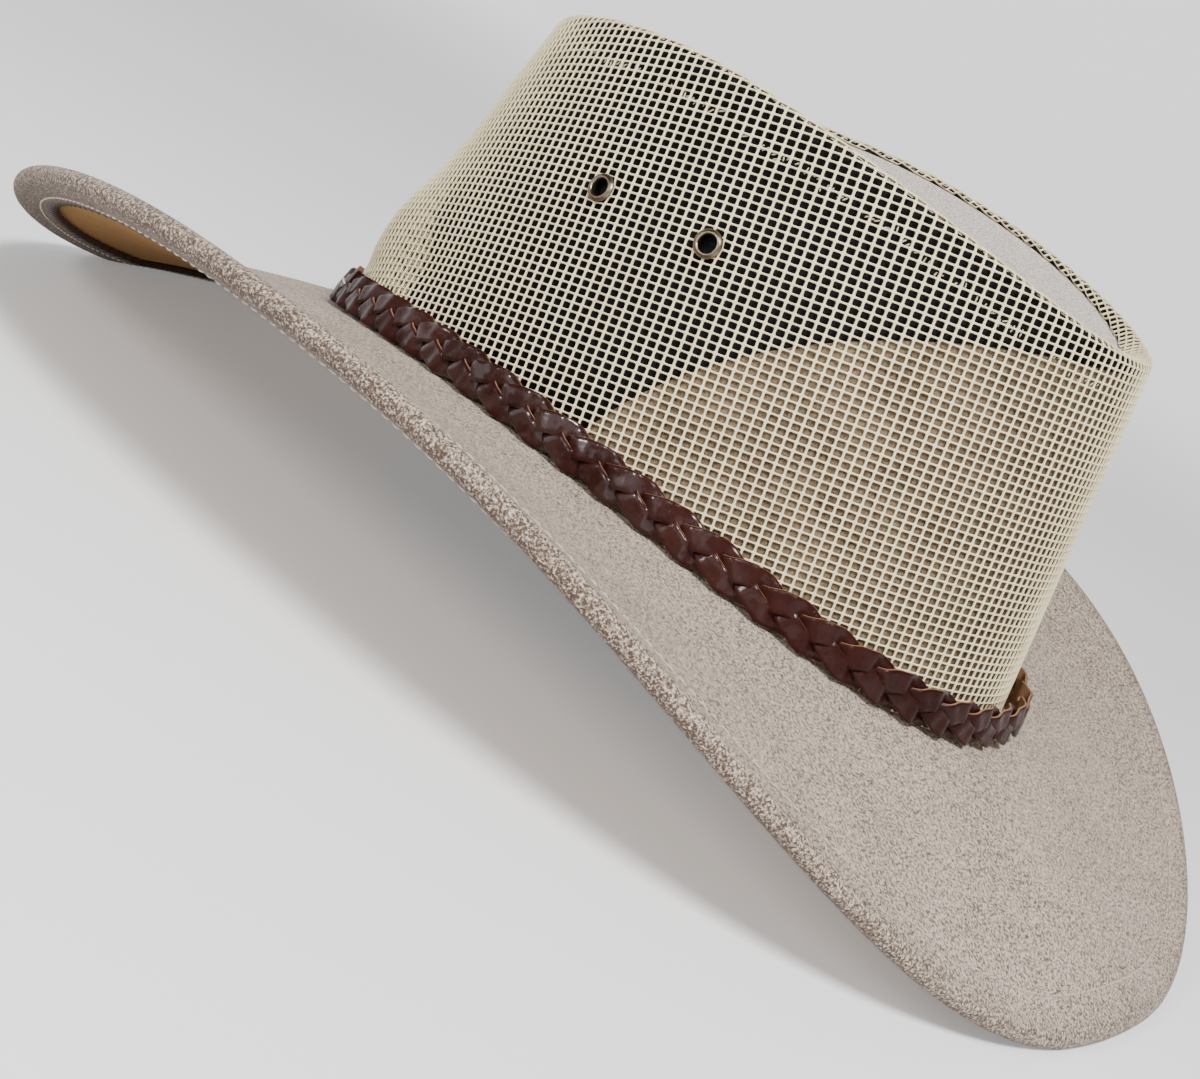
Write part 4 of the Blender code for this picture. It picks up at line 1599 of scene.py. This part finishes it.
    def build_panel(self) -> bpy.types.Object:
        """Return the dished suede panel: rings that shrink evenly and sag by their square.

        Returns:
            The finished piece, placed in the frame.
        """
        lines = self.lines
        t = lines.round_angles(300)
        inward, rise = lines.lip_end(t)
        rim = lines.at_ridge(t, inward - self.tuck, rise - self.tuck_drop)
        centre = np.array([0.0, 0.0, rim[:, 2].mean() - self.panel_sag])
        rings = []
        faces = ((0.0, np.linspace(0.02, 1.0, 26)), (self.panel, np.linspace(1.0, 0.02, 14)))
        for drop, shares in faces:
            for share in shares:
                ring = centre + (rim - centre) * share
                ring[:, 2] = centre[2] + (rim[:, 2] - centre[2]) * share**2 - drop
                rings.append(ring)
        rings = lines.in_frame(np.stack(rings, 1))
        rows, columns = rings.shape[:2]
        points = rings.reshape(-1, 3)
        quads = Mesher.grid_faces(rows, columns, Axis.AROUND)
        first = np.arange(rows) * columns
        last = first[::-1] + columns - 1
        points = np.concatenate([points, np.stack([points[first].mean(0), points[last].mean(0)])])
        fans = []
        for k, ring in enumerate((first, last)):
            tip_id = np.full(rows, len(points) - 2 + k)
            fans.append(np.stack([np.roll(ring, -1), ring, tip_id], -1))
        suede = Suede("taupe_suede_panel", (0.62, 0.555, 0.505), (0.36, 0.31, 0.275)).material()
        made = Mesher.piece("crown_top_suede", points, [quads, np.concatenate(fans)], suede, None, 50.0)
        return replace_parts(made, "crown_top")

    def build_eyelets(self) -> list[bpy.types.Object]:
        """Return the four eyelets, each an outline turned about its own axis.

        Returns:
            The four rings.
        """
        brass = AgedBrass("antique_brass").material()
        lines = self.lines
        hole, outer = self.eyelet_hole, self.eyelet_outer
        face, rim = lines.gap, 0.00095
        # Columns: radius, place along the axis, how rubbed.
        outline = np.array([
            (hole + 0.00010, face + rim * 0.55, 0.7), (hole + 0.00030, face + rim * 0.88, 1.0),
            (hole + 0.00056, face + rim, 0.8), (hole + 0.00084, face + rim * 0.86, 0.4),
            (outer - 0.00012, face + rim * 0.45, 0.8), (outer, face + rim * 0.2, 0.5),
            (outer - 0.00002, face, 0.1),
            (hole + 0.0004, face, 0.0), (hole + 0.0004, -lines.net - lines.gap, 0.0),
            (outer - 0.0003, -lines.net - lines.gap, 0.0), (hole + 0.0001, -lines.net - 0.0009, 0.0),
            (hole, -lines.net * 0.5, 0.1),
        ])
        made = []
        turn = np.arange(48) / 48 * 2.0 * math.pi
        for name, centre, normal in self.eyelet_places():
            side = np.cross(normal, [0.0, 0.0, 1.0])
            side /= np.linalg.norm(side)
            over = np.cross(side, normal)
            around = np.cos(turn)[:, None] * side + np.sin(turn)[:, None] * over
            points = centre + around[:, None] * outline[None, :, :1] + normal * outline[None, :, 1:2]
            faces = Mesher.grid_faces(48, len(outline), Axis.BOTH)
            marks = {"rub": np.tile(outline[:, 2], (48, 1))}
            points = lines.in_frame(points).reshape(-1, 3)
            piece = Mesher.piece(name + "_ring", points, [faces], brass, marks, 60.0)
            made.append(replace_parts(piece, name))
        return made

    def build(self) -> list[bpy.types.Object]:
        """Return the crown's pieces.

        Returns:
            Every piece of the crown.
        """
        made = self.build_net()
        made += [self.build_seam_ends(), self.build_lining(), self.build_stiffener(), self.build_panel()]
        return made + self.build_eyelets()


# ---------------------------------------------------------------------------
# The plaited band
# ---------------------------------------------------------------------------


@dataclass
class Band:
    """A flat plait of three leather straps round the foot of the crown."""

    lines: HatLines
    width: float = 0.0106
    thickness: float = 0.0032
    leaves: int = 54
    foot: float = 0.0004
    strap: float = 0.0053
    swing: float = 0.00265
    leather: float = 0.00084
    lift: float = 0.0018
    steps_per_turn: int = 40
    tail_angle: float = math.radians(-139.0)
    tail_foot: float = 0.0068
    tail_height: float = 0.0053
    tail_away: float = 0.0027
    tail_lean: float = 0.0005
    tack_start: float = -0.0002
    tack_length: float = 0.0052
    tack_rise: float = 0.0072
    tack_fall: float = 0.0010
    tack_away: float = 0.0044
    tack_bow: float = 0.0003
    tack_radius: float = 0.00030
    # A strap's height over the band's middle. Columns: power of the way across the
    # strap, turns per period, phase in degrees, size in metres.
    waves: tuple = (
        (0, 2, 90, 0.00104), (0, 6, 90, 0.00034), (2, 2, 90, 0.00015), (1, 1, 0, -0.00017),
        (1, 3, 0, 0.00028), (1, 5, 0, 0.00010), (3, 1, 0, 0.00013), (3, 3, 0, -0.00016),
    )

    def place(self, run: np.ndarray, rise: np.ndarray, away: np.ndarray) -> np.ndarray:
        """Return points a share of the way round, a rise over the band's foot, off the wall.

        Args:
            run: The share of the way round.
            rise: The height over the band's foot.
            away: The distance off the wall.

        Returns:
            The points before they are moved into the frame.
        """
        fine = np.linspace(-0.2, 2.0 * math.pi + 0.2, 6001)
        plan, _ = self.lines.base(fine)
        length = np.concatenate([[0.0], np.cumsum(np.linalg.norm(np.diff(plan, axis=0), axis=1))])
        length -= np.interp(0.0, fine, length)
        whole = np.interp(2.0 * math.pi, fine, length)
        t = np.interp((run % 1.0) * whole, length, fine)
        slant = np.tan(self.lines.lean(t))
        plan, normal = self.lines.base(t)
        inset = slant * rise - self.lines.gap - away - self.stand_off(t)
        height = self.lines.base_height(t) + self.lines.gap + self.foot + rise
        return np.concatenate([plan - normal * inset[..., None], height[..., None]], -1)

    @staticmethod
    def stand_off(t: np.ndarray) -> np.ndarray:
        """Return how far the band stands off the net: a hump near the front."""
        turn = np.angle(np.exp(1j * (t - math.radians(17.0)))) / math.radians(11.0)
        return 0.0026 * np.exp(-(turn**2))

    def strap_points(self, phase: float) -> tuple[np.ndarray, dict[str, np.ndarray]]:
        """Return one strap's skin round the hat, and its marks for the leather.

        The strap's middle swings across the band as the sine of its phase. Its height
        is a sum of sines of the phase, so it passes over one strap and under the next,
        and its tilt is a sum of cosines. Its section is a flat oblong with eased
        corners and a slightly domed face.

        Args:
            phase: Where the strap's swing begins.

        Returns:
            The points, one row a step, and the marks by name.
        """
        turns = self.leaves // 3
        steps = turns * self.steps_per_turn
        run = np.arange(steps) / steps
        angle = run * turns * 2.0 * math.pi + phase
        plan, _ = self.lines.base(np.linspace(0.0, 2.0 * math.pi, 4001))
        whole = float(np.linalg.norm(np.diff(plan, axis=0), axis=1).sum())
        rate = turns * 2.0 * math.pi / whole
        slope = self.swing * rate * np.cos(angle)
        size = np.sqrt(1.0 + slope**2)
        half, thick = self.strap * 0.5, self.leather * 0.5
        # Columns: way across, way through, how much it is cut leather.
        section = np.array([
            (-1.0, 0.0, 1.0), (-1.0, 1.0, 0.7), (-0.99, 1.5, 0.0), (-0.9, 2.0, 0.0), (-0.6, 2.25, 0.0),
            (-0.2, 2.35, 0.0), (0.2, 2.35, 0.0), (0.6, 2.25, 0.0), (0.9, 2.0, 0.0), (0.99, 1.5, 0.0),
            (1.0, 1.0, 0.7), (1.0, 0.0, 1.0), (0.6, -0.1, 1.0), (-0.6, -0.1, 1.0),
        ])
        across = section[:, 0] * half
        through = (section[:, 1] - 1.0) * thick
        a = angle[:, None]
        share = section[None, :, 0]
        height = np.zeros((steps, len(section)))
        for power, number, start, wave in self.waves:
            height += wave * share**power * np.cos(number * a - math.radians(start))
        away = self.lift + height + through[None]
        rise = self.width * 0.5 + self.swing * np.sin(a) + across[None] / size[:, None]
        along = run[:, None] - across[None] * (slope / size)[:, None] / whole
        points = self.place(along, rise, away)
        outer = smooth(share * np.sin(a), 0.55, 0.95)
        t = np.angle(np.exp(2j * math.pi * run))[:, None]
        dyed = outer * smooth(np.abs(t), math.radians(30.0), math.radians(60.0))
        cut = section[None, :, 2] * (1.0 - 0.9 * dyed)
        polish = 0.15 + 0.85 * np.abs(np.sin(t)) ** 6
        marks = {"cut": cut, "polish": np.broadcast_to(polish, cut.shape)}
        return self.lines.in_frame(points), marks

    def local(self, along: np.ndarray, rise: np.ndarray, away: np.ndarray) -> np.ndarray:
        """Return points by a way along the band from its joint, a rise and a way off.

        Args:
            along: The way along from the joint.
            rise: The height over the band's foot.
            away: The distance off the wall.

        Returns:
            The points in the frame.
        """
        fine = np.linspace(-math.pi, math.pi, 4001)
        plan, _ = self.lines.base(fine)
        run = np.concatenate([[0.0], np.cumsum(np.linalg.norm(np.diff(plan, axis=0), axis=1))])
        whole = run[-1]
        front = np.interp(0.0, fine, run)
        joint = np.interp(self.tail_angle, fine, run)
        return self.lines.in_frame(self.place((joint - front + along) / whole, rise, away))

    def build_tail(self, finish: bpy.types.Material) -> bpy.types.Object:
        """Return the strap's end, which stands up behind the plait past the band's top.

        Its middle line climbs the band and leans in by the square of its way up. Its
        skin stands half the leather's thickness to either side of that line.

        Args:
            finish: The finish of its mesh.

        Returns:
            The finished piece, placed in the frame.
        """
        share = np.linspace(0.0, 1.0, 12)
        rise = self.tail_foot + self.tail_height * share
        away = self.tail_away - self.tail_lean * share**2
        slope_rise, slope_away = np.gradient(rise), np.gradient(away)
        size = np.hypot(slope_rise, slope_away)
        half = self.leather * 0.7
        skins = []
        across = np.array([-1.0, -0.98, -0.6, 0.0, 0.6, 0.98, 1.0]) * self.strap * 0.38
        eased = np.array([0.35, 0.9, 1.0, 1.05, 1.0, 0.9, 0.35]) * half
        for side in (1.0, -1.0):
            order = slice(None) if side > 0.0 else slice(None, None, -1)
            off = side * eased[order][None]
            high = rise[:, None] - off * (slope_away / size)[:, None]
            out = away[:, None] + off * (slope_rise / size)[:, None]
            skins.append(self.local(np.broadcast_to(across[order], high.shape), high, out))
        rings = np.concatenate(skins, 1)
        rows, columns = rings.shape[:2]
        grid = Mesher.grid_faces(columns, rows, Axis.AROUND)
        quads = (grid % rows) * columns + grid // rows
        caps = np.stack([np.arange(columns), (rows - 1) * columns + np.arange(columns)[::-1]])
        cut = np.zeros((rows, columns))
        cut[-3:] = 0.5
        points = rings.reshape(-1, 3)
        made = Mesher.piece("band_tail", points, [quads, caps[:, ::-1]], finish, {"cut": cut}, 50.0)
        return made

    def build_tack(self) -> bpy.types.Object:
        """Return the pale stitch that tacks the strap's end down.

        Returns:
            The finished piece, placed in the frame.
        """
        share = np.linspace(0.0, 1.0, 9)
        along = self.tack_start + self.tack_length * share
        rise = self.tack_rise - self.tack_fall * share
        away = self.tack_away + self.tack_bow * np.sin(share * math.pi)
        path = self.local(along, rise, away)[None]
        radii = np.array([0.5, 0.9, 1.0, 1.0, 1.0, 1.0, 1.0, 0.9, 0.5]) * self.tack_radius
        cream = Thread("cream_tack_thread", (0.72, 0.66, 0.55), (0.45, 0.38, 0.28)).material()
        up = np.array([[0.0, 0.3, 1.0]])
        return Mesher.tubes("band_tack", path, radii, 8, cream, up)

    def build(self) -> list[bpy.types.Object]:
        """Return the band's pieces: three straps, the upright tail and its tack.

        Returns:
            The five pieces.
        """
        leather = GlossyLeather("maroon_strap_leather").material()
        made = []
        for number in range(3):
            points, marks = self.strap_points(number * 2.0 * math.pi / 3.0)
            faces = Mesher.grid_faces(*points.shape[:2], Axis.BOTH)
            name = f"band_strap_{number + 1}"
            piece = Mesher.piece(name, points.reshape(-1, 3), [faces], leather, marks, 60.0)
            made.append(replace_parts(piece, "hat_band"))
        return made + [self.build_tail(leather), self.build_tack()]


# ---------------------------------------------------------------------------
# Floor, light and camera
# ---------------------------------------------------------------------------


@dataclass
class Studio:
    """A pale floor that sweeps up behind and glows as painted light, soft lights and the camera."""

    camera_place: tuple = (0.2623, -0.4868, 0.1585)
    camera_back: tuple = (0.4647, -0.8499, 0.2483)
    camera_right: tuple = (0.69417, 0.52381, 0.49371)
    lens: float = 62.528
    aim: tuple = (0.0, 0.0, 0.06)
    # Columns: name, place, size, power.
    lights: tuple = (
        ("key", (0.66, -0.78, 1.14), 0.36, 34.0),
        ("fill", (0.2, -1.7, 0.9), 1.0, 2.0),
        ("glint", (-0.14, -1.10, 0.52), 0.22, 5.5),
        ("back", (-0.5, 1.4, 1.2), 1.2, 7.0),
    )

    def build_floor(self) -> bpy.types.Object:
        """Return the floor: a disc that curves upwards far from the hat and glows as painted light, faintly
        near the hat and brightly far from it.

        Returns:
            The floor, staged.
        """
        radius = np.concatenate([np.linspace(0.0, 3.0, 24), np.linspace(3.2, 6.0, 14)])
        height = 2.2 * np.clip((radius - 2.6) / 3.4, 0.0, 1.0) ** 2
        turn = np.arange(96) / 96 * 2.0 * math.pi
        points = np.stack([
            np.cos(turn)[:, None] * radius[None], np.sin(turn)[:, None] * radius[None],
            np.broadcast_to(height[None], (96, len(radius))),
        ], -1)
        mesh = bpy.data.meshes.new("floor")
        faces = Mesher.grid_faces(96, len(radius), Axis.AROUND)
        mesh.from_pydata(points.reshape(-1, 3), [], faces.tolist())
        mesh.shade_smooth()
        layer = mesh.attributes.new("far", "FLOAT", "POINT")
        far = np.broadcast_to(smooth(radius, 0.7, 2.6)[None], (96, len(radius)))
        layer.data.foreach_set("value", far.astype(np.float32).ravel())
        bench = NodeBench("pale_floor")
        # Painted light: the floor glows, faintly near the hat and brightly far off.
        glow = bench.mix(bench.attribute("far"), (0.22, 0.22, 0.22), (1.05, 1.05, 1.05))
        bench.finish(Emission_Color=glow, Emission_Strength=1.0)
        mesh.materials.append(bench.finish(Base_Color=(0.88, 0.88, 0.885), Roughness=0.9))
        floor = bpy.data.objects.new("floor", mesh)
        bpy.context.scene.collection.objects.link(floor)
        return floor

    def build_light(self, name: str, place: tuple, aim: tuple, size: float, power: float) -> None:
        """Add one square soft light, turned to face a point.

        Args:
            name: The light's name.
            place: Where it stands.
            aim: The point that it faces.
            size: The length of its side.
            power: Its power in watts.
        """
        data = bpy.data.lights.new(name, "AREA")
        data.energy = power
        data.size = size
        lamp = bpy.data.objects.new(name, data)
        lamp.location = place
        way = Vector(aim) - Vector(place)
        lamp.rotation_euler = way.to_track_quat("-Z", "Y").to_euler()
        bpy.context.scene.collection.objects.link(lamp)

    def build_camera(self) -> None:
        """Add the camera at the photograph's angle to the hat, rolled as it is there."""
        back = Vector(self.camera_back).normalized()
        right = Vector(self.camera_right)
        right = (right - back * right.dot(back)).normalized()
        up = back.cross(right)
        turn = Matrix((right, up, back)).transposed().to_4x4()
        data = bpy.data.cameras.new("camera")
        data.lens = self.lens
        data.sensor_width = 36.0
        data.sensor_fit = "HORIZONTAL"
        data.clip_start = 0.01
        camera = bpy.data.objects.new("camera", data)
        camera.matrix_world = Matrix.Translation(self.camera_place) @ turn
        bpy.context.scene.collection.objects.link(camera)
        bpy.context.scene.camera = camera

    def build(self) -> None:
        """Build the floor, the lights, the pale surroundings and the camera."""
        self.build_floor()
        for name, place, size, power in self.lights:
            self.build_light(name, place, self.aim, size, power)
        world = bpy.data.worlds.new("pale_room")
        bpy.context.scene.world = world
        world.use_nodes = True
        ground = world.node_tree.nodes["Background"]
        ground.inputs["Color"].default_value = (1.0, 0.99, 0.97, 1.0)
        ground.inputs["Strength"].default_value = 0.12
        self.build_camera()


def main() -> None:
    """Build every piece of the hat in order and report each one."""
    logging.basicConfig(level=logging.INFO, format="%(message)s")
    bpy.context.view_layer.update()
    lines = HatLines()
    Studio().build()
    pieces = Brim(lines).build() + Crown(lines).build() + Band(lines).build()
    for piece in pieces:
        LOG.info("%s: %d faces", piece.name, len(piece.data.polygons))


if __name__ == "__main__":
    main()
